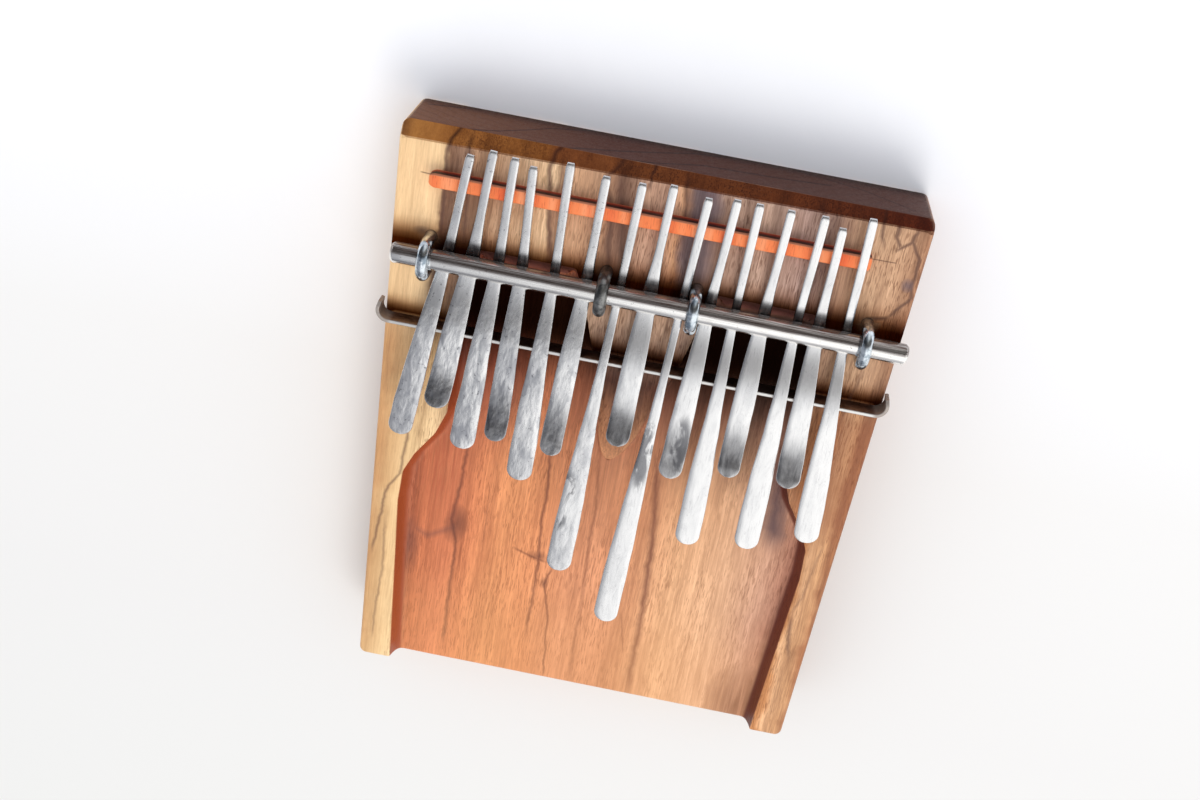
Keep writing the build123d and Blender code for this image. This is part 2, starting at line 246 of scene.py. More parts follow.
class Graph:
    """Node tree of a material or world, with one short call per kind of node."""

    def __init__(self, owner):
        self.owner = owner
        owner.use_nodes = True
        self.tree = owner.node_tree
        self.tree.nodes.clear()

    def add(self, kind, inputs, **settings):
        """New node; inputs are by name or number, and a setting is a property of the node."""
        node = self.tree.nodes.new("ShaderNode" + kind)
        for key, value in settings.items():
            setattr(node, key, value)
        for key, value in inputs.items():
            if isinstance(value, Value):
                self.tree.links.new(value.socket, node.inputs[key])
            else:
                node.inputs[key].default_value = value
        return node

    def node(self, kind, inputs, output=0, **settings):
        """One output of a new node."""
        return Value(self, self.add(kind, inputs, **settings).outputs[output])

    def op(self, operation, a, b=0.0, clamp=False):
        return self.node("Math", {0: a, 1: b}, operation=operation, use_clamp=clamp)

    def position(self):
        """Object position in millimetres."""
        coords = self.node("TexCoord", {}, "Object")
        return self.node("VectorMath", {0: coords, "Scale": 1 / MM}, operation="SCALE")

    def geometry(self, name):
        """Named output of the geometry node."""
        return self.node("NewGeometry", {}, name)

    def attribute(self, name):
        """Named value of the mesh's points."""
        return self.node("Attribute", {}, "Fac", attribute_name=name)

    def split(self, vector):
        return [Value(self, socket) for socket in self.add("SeparateXYZ", {0: vector}).outputs]

    def join(self, x, y, z):
        return self.node("CombineXYZ", {0: x, 1: y, 2: z})

    def noise(self, vector, scale, detail, rough, distortion=0.0):
        """Cloudy noise; three scales stretch it along the axes."""
        if isinstance(scale, tuple):
            vector = self.node("VectorMath", {0: vector, 1: scale}, operation="MULTIPLY")
            scale = 1.0
        inputs = {"Vector": vector, "Scale": scale, "Detail": detail, "Roughness": rough}
        return self.node("TexNoise", {**inputs, "Distortion": distortion})

    def ramp(self, value, stops):
        """Colour ramp with stops of a place from 0 to 1 and a linear colour."""
        node = self.add("ValToRGB", {0: value})
        elements = node.color_ramp.elements
        while len(elements) < len(stops):
            elements.new(0.5)
        for element, (place, colour) in zip(elements, stops):
            element.position = place
            element.color = colour
        return Value(self, node.outputs[0])

    def place_ramp(self, value, lo, hi, stops):
        """Colour ramp with stops of the value's own place and a display colour."""
        span = hi - lo
        return self.ramp((value - lo) / span, [((at - lo) / span, rgb(*tone)) for at, *tone in stops])

    def rescale(self, value, ends, **settings):
        """Value taken from the range of ends 0 and 1 to the range of ends 2 and 3, and kept in it."""
        inputs = dict(zip(("From Min", "From Max", "To Min", "To Max"), ends))
        return self.node("MapRange", {"Value": value, **inputs}, "Result", **settings)

    def step(self, value, lo, hi):
        """Smooth step from 0 at lo to 1 at hi; lo may be the larger."""
        ends = (lo, hi, 0.0, 1.0) if lo < hi else (hi, lo, 1.0, 0.0)
        return self.rescale(value, ends, interpolation_type="SMOOTHSTEP")

    def mix(self, factor, a, b, blend="MIX"):
        return self.node("Mix", {0: factor, 6: a, 7: b}, 2, data_type="RGBA", blend_type=blend)

    def tint(self, a, b):
        """Product of two colours."""
        return self.mix(1.0, a, b, "MULTIPLY")

    def most(self, masks):
        """Greatest of several masks."""
        total = masks[0]
        for mask in masks[1:]:
            total = self.op("MAXIMUM", total, mask)
        return total

    def spot(self, x, y, at, size, power=1.0):
        """Soft oval mask."""
        dx = (x - at[0]) / size[0]
        dy = (y - at[1]) / size[1]
        r = self.op("SQRT", dx * dx + dy * dy)
        return self.op("SUBTRACT", 1.0, r, clamp=True) ** power

    def bump(self, height, strength, distance):
        return self.node("Bump", {"Strength": strength, "Distance": distance * MM, "Height": height})

    def finish(self, colour, roughness, metallic, normal, specular=0.5, coat=0.0):
        """The material, with its surface made."""
        shader = self.node("BsdfPrincipled", {
            "Base Color": colour, "Roughness": roughness, "Metallic": metallic, "Normal": normal,
            "Specular IOR Level": specular, "Coat Weight": coat, "Coat Roughness": COAT_ROUGHNESS,
        })
        self.add("OutputMaterial", {"Surface": shader})
        return self.owner


COAT_ROUGHNESS = 0.35


def new_material(name):
    """Empty material, its graph and the place of a point in it, in millimetres."""
    g = Graph(bpy.data.materials.new(name))
    return g, g.position()


# ------------------------------------------------------------------- the board

RIM = 1.2
BASE_RIM = 0.8
CORNER_R = 2.5
# The bevel's reach and drop at the left end, in the middle and at the right end
BEVEL_X = (-85, 0, 85)
BEVEL_REACH = (5.3, 4.3, 3.8)
BEVEL_DROP = (4.3, 3.9, 3.2)
CORNER_BEVEL = 4.5
CORNER_SLOPE = 1.3
# Left side of the hollow, front to rear
RECESS = [(-67.3, FRONT_Y + RIM), (-70.2, -52.0), (-71.3, -35.0), (-70.8, -23.0), (-67.6, -15.6),
          (-61.4, -6.2), (-58.3, 2.5), (-57.5, 62.5)]
RECESS_CORNER = 4.0
# Round the tongue, left root to right root
TONGUE = [
    (-23.5, 63.5), (-17.1, 47.0), (-13.5, 36.0), (-8.8, 24.0), (-7.0, 7.0), (-2.0, -6.5),
    (5.5, 5.0), (10.0, 20.0), (15.6, 36.0), (18.3, 47.0), (22.5, 63.5),
]
TONGUE_RAMP_Y = 26.0
TONGUE_TIP_Y = -6.5
LEG_HOLE_R = 2.06
COUNTERBORE_R = 5.0
COUNTERBORE_DEPTH = 7.0
# Shares of the wall's width where the mesh has a ring of points
RING_STEPS = (0.0, 0.05, 0.12, 0.2, 0.3, 0.42, 0.56, 0.76, 1.0)
TOP_GRID = 2.1
BASE_GRID = 8.0
EDGE_RINGS = 6
# How far the hollow's top edge is worn down, and how uneven the worked surface is
EASED = 0.22
WANDER = 0.06
# Distance inside the contour from which a point counts as in the hollow
IN_HOLLOW = 0.02


def legs():
    """x, y of the eight U-bolt legs."""
    return [(x, bar_y(x) + side * LEG_OFFSET) for x in U_BOLT_X for side in (-1, 1)]


def rounded(points, radius, closed=False, step=1.0):
    """Polyline with its corners rounded and its straights cut into short steps."""
    pts = [Vector(p) for p in points]
    n = len(pts)
    out = []
    for i in range(n):
        inner = closed or 0 < i < n - 1
        if not inner:
            out.append(pts[i])
            continue
        a, b, c = pts[i - 1], pts[i], pts[(i + 1) % n]
        u, v = (a - b).normalized(), (c - b).normalized()
        half = u.angle(v) / 2
        reach = radius / math.tan(half)
        centre = b + (u + v).normalized() * radius / math.sin(half)
        p, q = b + u * reach, b + v * reach
        start, turn = p - centre, (p - centre).angle_signed(q - centre)
        count = max(3, int(abs(turn) * radius / 0.7))
        for k in range(count + 1):
            angle = -turn * k / count
            ca, sa = math.cos(angle), math.sin(angle)
            out.append(centre + Vector((start.x * ca - start.y * sa, start.x * sa + start.y * ca)))
    if closed:
        out.append(out[0])
    cut = [out[0]]
    for p, q in zip(out, out[1:]):
        pieces = max(1, int(round((q - p).length / step)))
        cut += [p.lerp(q, k / pieces) for k in range(1, pieces + 1)]
    return np.array([tuple(p) for p in (cut[:-1] if closed else cut)])


def tongue_curve():
    """Points round the tongue, from its left root at the rear wall to its right root."""
    pts = np.array(TONGUE)
    t = np.concatenate([[0], np.cumsum(np.hypot(*np.diff(pts, axis=0).T))])
    fine = np.linspace(0, t[-1], 190)
    x = smooth_curve(list(zip(t, pts[:, 0])), fine)
    y = smooth_curve(list(zip(t, pts[:, 1])), fine)
    keep = y <= RECESS[-1][1] - 0.2
    return np.c_[x, y][keep]


def recess_contour():
    """Top edge of the hollow as an open polyline, front left to front right."""
    middle = tongue_curve()
    left = rounded(RECESS + [(middle[0][0], RECESS[-1][1])], RECESS_CORNER)[:-1]
    right = left[::-1] * (-1, 1)
    left = left[left[:, 0] < middle[0][0] - 0.5]
    right = right[right[:, 0] > middle[-1][0] + 0.5]
    return np.concatenate([left, middle, right])


CONTOUR = recess_contour()


def nearest(points):
    """Distance to the contour (positive in the hollow) and the nearest place on it."""
    a, b = CONTOUR[:-1], CONTOUR[1:]
    ab = b - a
    best = np.full(len(points), 1e9)
    place = np.zeros((len(points), 2))
    for k in range(len(a)):
        t = np.clip(((points - a[k]) @ ab[k]) / (ab[k] @ ab[k]), 0, 1)
        foot = a[k] + t[:, None] * ab[k]
        d = np.hypot(*(points - foot).T)
        closer = d < best
        best[closer] = d[closer]
        place[closer] = foot[closer]
    loop = np.concatenate([CONTOUR, [(CONTOUR[-1][0], -200), (CONTOUR[0][0], -200)]])
    return np.where(in_loop(points, loop), best, -best), place


def soft_min(a, b, k):
    """Lesser of two heights, blended where they differ by less than k."""
    h = np.clip(0.5 + 0.5 * (b - a) / k, 0, 1)
    return b * (1 - h) + a * h - k * h * (1 - h)


def bevel(x, y):
    """Height of the hand-planed rear bevel, which narrows from left to right."""
    reach = np.interp(x, BEVEL_X, BEVEL_REACH)
    drop = np.interp(x, BEVEL_X, BEVEL_DROP)
    plane = BOARD_TOP - (y - (REAR_Y - reach)) * drop / reach
    corner = BOARD_TOP + CORNER_SLOPE * (WIDTH_REAR / 2 + REAR_Y - CORNER_BEVEL - np.abs(x) - y)
    return soft_min(plane, corner, 1.2)


def bevel_fold(x):
    """Y of the crease where the bevel starts."""
    return REAR_Y - np.interp(x, BEVEL_X, BEVEL_REACH)


def tongue_height(x, y):
    """Height of the uncut top: level, except where the tongue runs down to its tip."""
    drop = np.clip((TONGUE_RAMP_Y - y) / (TONGUE_RAMP_Y - TONGUE_TIP_Y), 0, 1) ** 2
    on_tongue = (np.abs(x) < 26) & (y < TONGUE_RAMP_Y) & (y > -30)
    return BOARD_TOP - np.where(on_tongue, drop * (BOARD_TOP - FLOOR_Z), 0.0)


def wall_width(height, x, y):
    """How far the curved wall of the hollow reaches, and how sharply it falls."""
    rear = smoothstep(59.5, 62.2, y)
    tongue = smoothstep(30.0, 26.0, np.abs(x)) * (1 - rear)
    width = (1.0 + (3.2 - 1.7 * tongue) * height / 6.8) * (1 - rear) + 7.0 * rear
    return width, 3.0 * (1 - rear) + 1.45 * rear


def surface(points):
    """Height of the worked top face, and how deep in the hollow each point lies."""
    x, y = points[:, 0], points[:, 1]
    d, foot = nearest(points)
    rim = tongue_height(foot[:, 0], foot[:, 1])
    width, power = wall_width(rim - FLOOR_Z, foot[:, 0], foot[:, 1])
    t = np.clip(d / width, 0, 1)
    hollow = FLOOR_Z + (rim - EASED - FLOOR_Z) * (1 - t) ** power
    top = tongue_height(x, y) - EASED * np.clip(1 + d / 0.8, 0, 1) ** 2
    z = np.where(d > 0, hollow, top)
    z = soft_min(z, bevel(x, y), 0.6)
    wander = np.array([noise.noise(Vector((px * 0.05, py * 0.03, 7.0))) for px, py in points])
    return z + WANDER * wander, d, (1 - t) * np.clip((rim - FLOOR_Z) / 3.5, 0, 1)


def half_width(y):
    """Half the board's width at y."""
    return WIDTH_FRONT / 2 + (WIDTH_REAR - WIDTH_FRONT) / 2 * (y - FRONT_Y) / (REAR_Y - FRONT_Y)


def outline():
    """Outline samples of the board with outward normals, counter-clockwise."""
    hr, hf = WIDTH_REAR / 2, WIDTH_FRONT / 2
    corners = [(-hf, FRONT_Y), (hf, FRONT_Y), (hr, REAR_Y), (-hr, REAR_Y)]
    pts = rounded(corners, CORNER_R, closed=True, step=2.0)
    edge_x = CONTOUR[-1][0]
    extra = [s * (edge_x - 4.2 * t) for t in RING_STEPS for s in (-1, 1)]
    extra += [s * (edge_x + t) for t in (0.4, 0.8) for s in (-1, 1)]
    on_front = (np.abs(pts[:, 1] - FRONT_Y) < 1e-6) & (np.abs(pts[:, 0]) < hf - CORNER_R - 0.1)
    clear = np.min(np.abs(pts[:, :1] - np.array(extra)[None, :]), axis=1) > 0.45
    pts = pts[~on_front | clear]
    pts = np.concatenate([pts, [(x, FRONT_Y) for x in extra]])
    for side in (-1, 1):
        for shift in (-0.5, 0.5):
            y = float(bevel_fold(side * hr)) + shift
            pts = np.concatenate([pts, [(side * half_width(y), y)]])
    pts = pts[np.argsort(np.arctan2(pts[:, 1], pts[:, 0]))]
    tangent = np.roll(pts, -1, axis=0) - np.roll(pts, 1, axis=0)
    tangent /= np.hypot(*tangent.T)[:, None]
    return pts, np.c_[tangent[:, 1], -tangent[:, 0]]


def fill(loops, loose, lines=()):
    """Triangles inside the first loop and outside the others, through loose points."""
    verts, edges = [], []
    for loop in loops:
        base = len(verts)
        verts += [Vector(p) for p in loop]
        edges += [(base + k, base + (k + 1) % len(loop)) for k in range(len(loop))]
    for line in lines:
        base = len(verts)
        verts += [Vector(p) for p in line]
        edges += [(base + k, base + k + 1) for k in range(len(line) - 1)]
    verts += [Vector(p) for p in loose]
    points, _, faces, _, _, _ = delaunay_2d_cdt(verts, edges, [], 0, 1e-5)
    points = np.array([tuple(p) for p in points])
    centres = np.array([points[list(f)].mean(0) for f in faces])
    keep = in_loop(centres, loops[0])
    for loop in loops[1:]:
        keep &= ~in_loop(centres, loop)
    return points, [tuple(f) for f, k in zip(faces, keep) if k]


def contour_rings():
    """Loose points beside the contour, dense where the wall curves."""
    tangent = np.gradient(CONTOUR, axis=0)
    tangent /= np.hypot(*tangent.T)[:, None]
    inward = np.c_[tangent[:, 1], -tangent[:, 0]]
    rim = tongue_height(CONTOUR[:, 0], CONTOUR[:, 1])
    width, _ = wall_width(rim - FLOOR_Z, CONTOUR[:, 0], CONTOUR[:, 1])
    shifts = [np.full(len(CONTOUR), step) for step in (-0.8, -0.35)]
    shifts += [step * width for step in RING_STEPS[1:]]
    pts = np.concatenate([CONTOUR + inward * shift[:, None] for shift in shifts])
    wanted = np.abs(np.concatenate(shifts))
    d, _ = nearest(pts)
    good = (np.abs(np.abs(d) - wanted) < 0.06 * wanted + 0.01) & (pts[:, 1] > FRONT_Y + RIM + 0.6)
    return pts[good]


def raster(half_x, y0, y1, pitch):
    """Square grid of points."""
    xs, ys = np.meshgrid(np.arange(-half_x, half_x + 0.1, pitch), np.arange(y0, y1, pitch))
    return np.c_[xs.ravel(), ys.ravel()]


def clear_of_legs(points, gap):
    """Which points lie further than the gap from every leg."""
    return np.all([np.hypot(points[:, 0] - x, points[:, 1] - y) > gap for x, y in legs()], axis=0)


def top_face(inner):
    """Points and faces of the worked top inside its rounded edge."""
    grid = raster(84, FRONT_Y + 3.0, REAR_Y - 2.5, TOP_GRID)
    d, foot = nearest(grid)
    width, _ = wall_width(tongue_height(foot[:, 0], foot[:, 1]) - FLOOR_Z, foot[:, 0], foot[:, 1])
    keep = (d > width + 0.9) | (d < -1.7)
    keep &= np.abs(grid[:, 0]) < half_width(grid[:, 1]) - RIM - 0.9
    keep &= np.abs(grid[:, 1] - bevel_fold(grid[:, 0])) > 1.2
    keep &= clear_of_legs(grid, LEG_HOLE_R + 1.0)
    along = np.arange(-82.5, 82.6, 1.5)
    fold = [(x, float(bevel_fold(x)) + shift) for shift in (-0.5, 0.0, 0.5) for x in along]
    loops = [inner] + [circle(x, y, LEG_HOLE_R) for x, y in legs()]
    return fill(loops, np.concatenate([grid[keep], contour_rings(), fold]), [CONTOUR])


def side_rings(edge, normal, inner_z):
    """Rings of points round the board, from the top face's rim down to the underside."""
    quarter = [math.pi / 2 * k / (EDGE_RINGS - 1) for k in range(EDGE_RINGS)]
    rows = [(RIM * (1 - math.sin(a)), RIM * (1 - math.cos(a)), 0.0) for a in quarter]
    rows += [(0.0, RIM, down) for down in (0.06, 0.3, 0.6, 0.9, 1.0)]
    rings = []
    for inset, drop, down in rows:
        plan = edge - normal * inset
        z = np.minimum(inner_z - drop, bevel(*plan.T))
        rings.append(np.c_[plan, z * (1 - down) + BASE_RIM * down])
    for k in range(1, 5):
        angle = math.pi / 2 * k / 4
        plan = edge - normal * BASE_RIM * (1 - math.cos(angle))
        rings.append(np.c_[plan, np.full(len(plan), BASE_RIM * (1 - math.sin(angle)))])
    return [[tuple(p) for p in ring] for ring in rings]


def under_face(base_loop):
    """Points and faces of the underside, open at the counterbores."""
    grid = raster(80, FRONT_Y + 5, REAR_Y - 4, BASE_GRID)
    keep = in_loop(grid, [(p[0] * 0.97, p[1] * 0.97) for p in base_loop])
    keep &= clear_of_legs(grid, COUNTERBORE_R + 1)
    points, faces = fill([base_loop] + [circle(x, y, COUNTERBORE_R) for x, y in legs()], grid[keep])
    return [(x, y, 0.0) for x, y in points], faces


def leg_hole(x, y):
    """Wall of a leg's hole and of the counterbore under it."""
    mouth, bore = circle(x, y, COUNTERBORE_R), circle(x, y, LEG_HOLE_R)
    top, _, _ = surface(np.array(bore))
    levels = [(mouth, 0.0), (mouth, COUNTERBORE_DEPTH), (bore, COUNTERBORE_DEPTH)]
    rows = [[(px, py, z) for px, py in ring] for ring, z in levels]
    rows.append([(px, py, z) for (px, py), z in zip(bore, top)])
    return loft(rows, close_start=False, close_end=False)


def board_mesh():
    """Points and faces of the board, and its masks as one value for each point."""
    edge, normal = outline()
    inner = edge - normal * RIM
    points, faces = top_face(inner)
    z, d, wall = surface(points)
    inner_z, inner_d, inner_wall = surface(inner)
    rings = side_rings(edge, normal, inner_z)
    side = loft(rings, close_start=False, close_end=False)
    parts = [([(*p, h) for p, h in zip(points, z)], faces), side, under_face([p[:2] for p in rings[-1]])]
    verts, faces = merge(parts + [leg_hole(x, y) for x, y in legs()])

    count, rim = len(points), len(edge)
    recess_all, wall_all = np.zeros(len(verts)), np.zeros(len(verts))
    recess_all[:count] = d > IN_HOLLOW
    wall_all[:count] = wall
    recess_all[count:count + len(rings) * rim] = np.tile(inner_d > IN_HOLLOW, len(rings))
    wall_all[count:count + EDGE_RINGS * rim] = np.tile(inner_wall, EDGE_RINGS)
    wall_all *= recess_all
    return verts, faces, {"recess": recess_all, "wall": wall_all, **soft_masks(np.array(verts), recess_all)}


def soft_masks(points, recess):
    """Broad shading masks of the board, one value for each vertex."""
    x, y, z = points.T
    on_top = (1 - recess) * smoothstep(24, 28, z)
    above_base = smoothstep(2.0, 8.0, z)
    by_rod = smoothstep(71.5, 61.0, y) * smoothstep(53.0, 57.0, y)
    by_bridge = smoothstep(43.0, 36.0, y) * smoothstep(34.3, 35.2, y)
    by_tongue = smoothstep(25.0, 22.0, np.abs(x + 1.0)) * smoothstep(62.0, 50.0, y)
    on_arm = smoothstep(62.0, 68.0, x) * smoothstep(-24.0, -8.0, y) * smoothstep(34.0, 26.0, y)
    return {
        # Painted shadow on the top behind the rod and the front bridge
        "rod_bridge_shadow": np.maximum(by_rod, by_bridge) * on_top,
        # Painted shade on the floor of the hollow under the tines, from in front of the front bridge to the
        # rod
        "painted_hollow_shade": smoothstep(14.0, 36.5, y) * smoothstep(58.5, 55.5, y) * recess,
        # Painted shade under the tines in front of the front bridge, growing towards it
        "between": smoothstep(-22.0, 26.0, y) * recess,
        "golden": smoothstep(-50.0, -90.0, y) * recess,
        "tongue": by_tongue * (1 - recess) * above_base,
        "right_arm": on_arm * on_top,
    }


# ----------------------------------------------------------------- wood finish

def track(g, value, points):
    """Value that follows straight lines between (input, output) points."""
    total = points[0][1]
    for (x0, y0), (x1, y1) in zip(points, points[1:]):
        total = total + g.rescale(value, (x0, x1, 0.0, y1 - y0))
    return total


def line_mask(g, x, y, points, width, fade, soft=1.0):
    """Mask of a dark line in the grain through (x, y) points, which run along y."""
    points = sorted(points, key=lambda p: p[1])
    low, high = points[0][1], points[-1][1]
    gap = abs(x - track(g, y, [(p[1], p[0]) for p in points]))
    body = g.op("SUBTRACT", 1.0, gap / width, clamp=True)
    ends = g.step(y, low - fade, low + fade) * g.step(y, high + fade, high - fade)
    return body ** soft * ends


def figure(g, axes, lines):
    """Darkest of several lines; a row is the axis along which the line runs, its strength,
    its points, its half width, how far its ends fade and the power of its profile."""
    masks = []
    for axis, strength, points, width, fade, soft in lines:
        mask = line_mask(g, *axes[axis], points, width, fade, soft)
        masks.append(mask if strength == 1 else mask * strength)
    return g.most(masks)


# Each colour row is a place in millimetres and the display colour there

# Colour across the worked top, left to right
TOP_TONES = [
    (-85, 240, 198, 146), (-70, 240, 200, 150), (-68.2, 132, 92, 66), (-65, 160, 118, 90),
    (-58, 186, 142, 108), (-48, 214, 170, 132), (-38, 244, 204, 160), (-34.6, 238, 198, 154),
    (-33.4, 190, 146, 112), (-27, 206, 158, 120), (-19, 196, 148, 112), (-12, 160, 118, 92),
    (-4, 196, 152, 124), (3, 202, 156, 128), (8.5, 200, 146, 104), (11, 132, 104, 96), (17, 124, 101, 98),
    (21, 172, 134, 112), (34, 180, 144, 122), (46, 182, 146, 130), (54, 168, 130, 108),
    (60, 178, 136, 106), (68, 200, 158, 122), (80, 184, 138, 104), (85, 150, 98, 66),
]
# Colour across the two arms in front
ARM_TONES = [
    (-85, 196, 142, 90), (-80, 200, 148, 98), (-77, 214, 168, 116), (-69, 232, 194, 142),
    (-58, 226, 188, 142), (0, 150, 104, 76), (56, 186, 134, 96), (66, 180, 116, 70), (70.5, 188, 124, 74),
    (73, 212, 160, 116), (77, 206, 152, 106), (80, 158, 100, 62), (85, 150, 96, 58),
]
# Colour across the floor of the hollow
FLOOR_TONES = [
    (-72, 180, 98, 64), (-64, 200, 114, 72), (-54, 206, 119, 78), (-46, 213, 128, 82),
    (-34, 224, 146, 94), (-22, 214, 136, 88), (-8, 214, 142, 100), (8, 214, 144, 102), (17, 204, 140, 98),
    (30, 228, 172, 126), (48, 224, 172, 132), (60, 206, 154, 124), (70, 160, 100, 76),
]
# Colour between the tines in front of the bridge: the floor's tone with painted shade of the tines
BETWEEN_TONES = [
    (-60, 158, 74, 48), (-45, 170, 84, 60), (-36, 160, 80, 56), (-25, 204, 120, 84), (-16, 176, 100, 68),
    (-8, 158, 98, 72), (12, 150, 92, 68), (24, 100, 48, 38), (33, 124, 66, 50), (43, 74, 34, 30),
    (52, 120, 76, 66), (60, 150, 104, 82),
]
# Colour along the tongue, front to rear, darker near the front bridge with painted shade of the bridge and
# the tines
TONGUE_TONES = [
    (-8, 214, 150, 106), (6, 186, 128, 88), (26, 106, 60, 40), (36, 150, 112, 90), (48, 208, 168, 138),
    (62, 190, 146, 116),
]
# Figure in the rear part of the top
TOP_LINES = [
    ("y", 1, [(-65.0, 102), (-68.4, 97), (-69.3, 92), (-68.6, 84), (-67.9, 66)], 0.9, 2.0, 0.6),
    ("y", 1, [(-33.0, 102), (-35.6, 98), (-36.4, 93), (-34.4, 79), (-32.2, 66)], 1.1, 3.0, 0.6),
    ("y", 1, [(-13.6, 102), (-15.2, 98), (-18.3, 95), (-14.6, 80), (-13.1, 64)], 1.5, 3.0, 0.7),
    ("y", 1, [(-3.4, 102), (-4.6, 97), (-4.4, 93)], 0.7, 1.5, 0.7),
    ("y", 1, [(-14.5, 99), (-12.3, 84), (-8.0, 66)], 3.6, 6.0, 1.3),
    ("y", 1, [(-62.5, 98), (-61.5, 86), (-60.0, 64)], 2.2, 6.0, 1.4),
    ("y", 1, [(6.5, 99), (8.0, 84), (12.5, 64)], 1.4, 4.0, 1.0),
    ("y", 1, [(49.5, 99), (52.5, 84), (51.0, 64)], 2.4, 6.0, 1.3),
    ("y", 1, [(68.8, 101), (68.6, 94), (70.2, 90)], 1.0, 3.0, 1.0),
]
# Contour-like figure near the right edge
EDGE_LINES = [
    ("y", 1, [(73.4, 99), (73.6, 93), (75.4, 89.4)], 0.9, 1.5, 0.6),
    ("y", 1, [(79.4, 97), (78.6, 92.4), (82.2, 87), (82.8, 74), (77.4, 66)], 0.9, 2.5, 0.6),
    ("x", 1, [(88.8, 74.8), (92.8, 79.6)], 0.9, 1.0, 0.6),
    ("x", 1, [(64.3, 70), (66.2, 77.8)], 0.9, 2.0, 0.6),
]
# Scored lines at both ends of the back bridge
SCORED_LINES = [
    ("x", 1, [(84.6, -76.6), (84.4, -72.8)], 0.35, 0.5, 1.0),
    ("x", 1, [(84.5, 66.5), (84.6, 75.5)], 0.3, 0.6, 1.0),
]
# Figure on the two arms
ARM_LINES = [
    ("y", 1, [(-70.0, 3), (-70.6, -9), (-71.8, -24), (-75.2, -30), (-78.2, -56)], 0.9, 3.0, 1.0),
    ("y", 0.7, [(-74.6, -44), (-73.6, -64), (-75.0, -92)], 0.8, 6.0, 1.0),
    ("y", 1, [(71.4, -50), (72.4, -58), (74.6, -66)], 1.2, 4.0, 1.0),
    ("y", 0.6, [(76.0, -20), (73.8, -40), (70.8, -50)], 0.8, 5.0, 1.0),
    ("y", 0.7, [(74.0, 46), (70.0, 20), (69.0, -4)], 0.9, 6.0, 1.0),
]
# Figure on the floor of the hollow
FLOOR_LINES = [
    ("y", 1, [(-50.5, -12), (-50.6, -24), (-52.6, -42), (-49.8, -51), (-49.5, -93)], 1.0, 4.0, 1.0),
    ("y", 0.5, [(-40.3, -29), (-40.4, -51)], 0.6, 8.0, 1.0),
    ("y", 1, [(-21.5, -8), (-20.6, -39), (-19.5, -50), (-19.3, -82)], 0.9, 6.0, 1.0),
    ("y", 1, [(-14.5, -54), (-16.0, -61), (-12.6, -76), (-10.9, -99)], 0.7, 3.0, 1.0),
    ("y", 0.55, [(-5.5, 0), (-2.9, -27), (-2.0, -60), (-1.1, -98)], 1.0, 6.0, 1.0),
    ("y", 1, [(15.2, -4), (19.0, -34), (20.4, -65), (21.0, -99)], 1.9, 8.0, 1.0),
    ("y", 0.6, [(13.3, -67), (16.2, -82)], 0.5, 4.0, 1.0),
    ("x", 0.8, [(-48.6, -28.7), (-50.6, -22.5), (-51.8, -17.2)], 0.8, 2.0, 1.0),
]
# Walls of the hollow, rust at the left and dark at the right, where the wall in shade is painted darker
WALL_TONES = [
    (-72, 164, 74, 30), (-56, 160, 70, 30), (-20, 132, 66, 40), (50, 96, 36, 14), (72, 96, 30, 8),
]
# Rear bevel
BEVEL_TONES = [
    (-85, 120, 74, 38), (-80, 160, 104, 50), (-66, 142, 86, 38), (-38, 120, 68, 26), (-36, 112, 60, 26),
    (20, 94, 46, 18), (85, 74, 24, 7),
]
# End grain of the rear face
END_TONES = [
    (-85, 120, 78, 55), (-20, 80, 43, 32), (40, 78, 45, 35), (85, 84, 54, 47),
]
# Growth rings cut across on the rear face
ARC_LINES = [
    ("x", 1, [(27, -65), (22, -55), (14, -46), (8, -40), (0, -24)], 0.9, 1.0, 0.6),
    ("x", 1, [(27, -33), (24, -29), (19, -17), (12, -4), (5, 8), (0, 30)], 1.0, 1.0, 0.6),
    ("x", 1, [(7, -81), (2, -64)], 0.9, 1.0, 0.6),
    ("x", 1, [(27, -14), (24, -4), (17, 10), (15, 34), (12, 52)], 0.9, 1.0, 0.6),
    ("x", 0.7, [(2, 40), (10, 62), (22, 78)], 1.2, 2.0, 1.0),
]
DARK_BROWN = rgb(70, 38, 22)
UMBER = rgb(96, 62, 48)
SLATE = rgb(104, 86, 92)


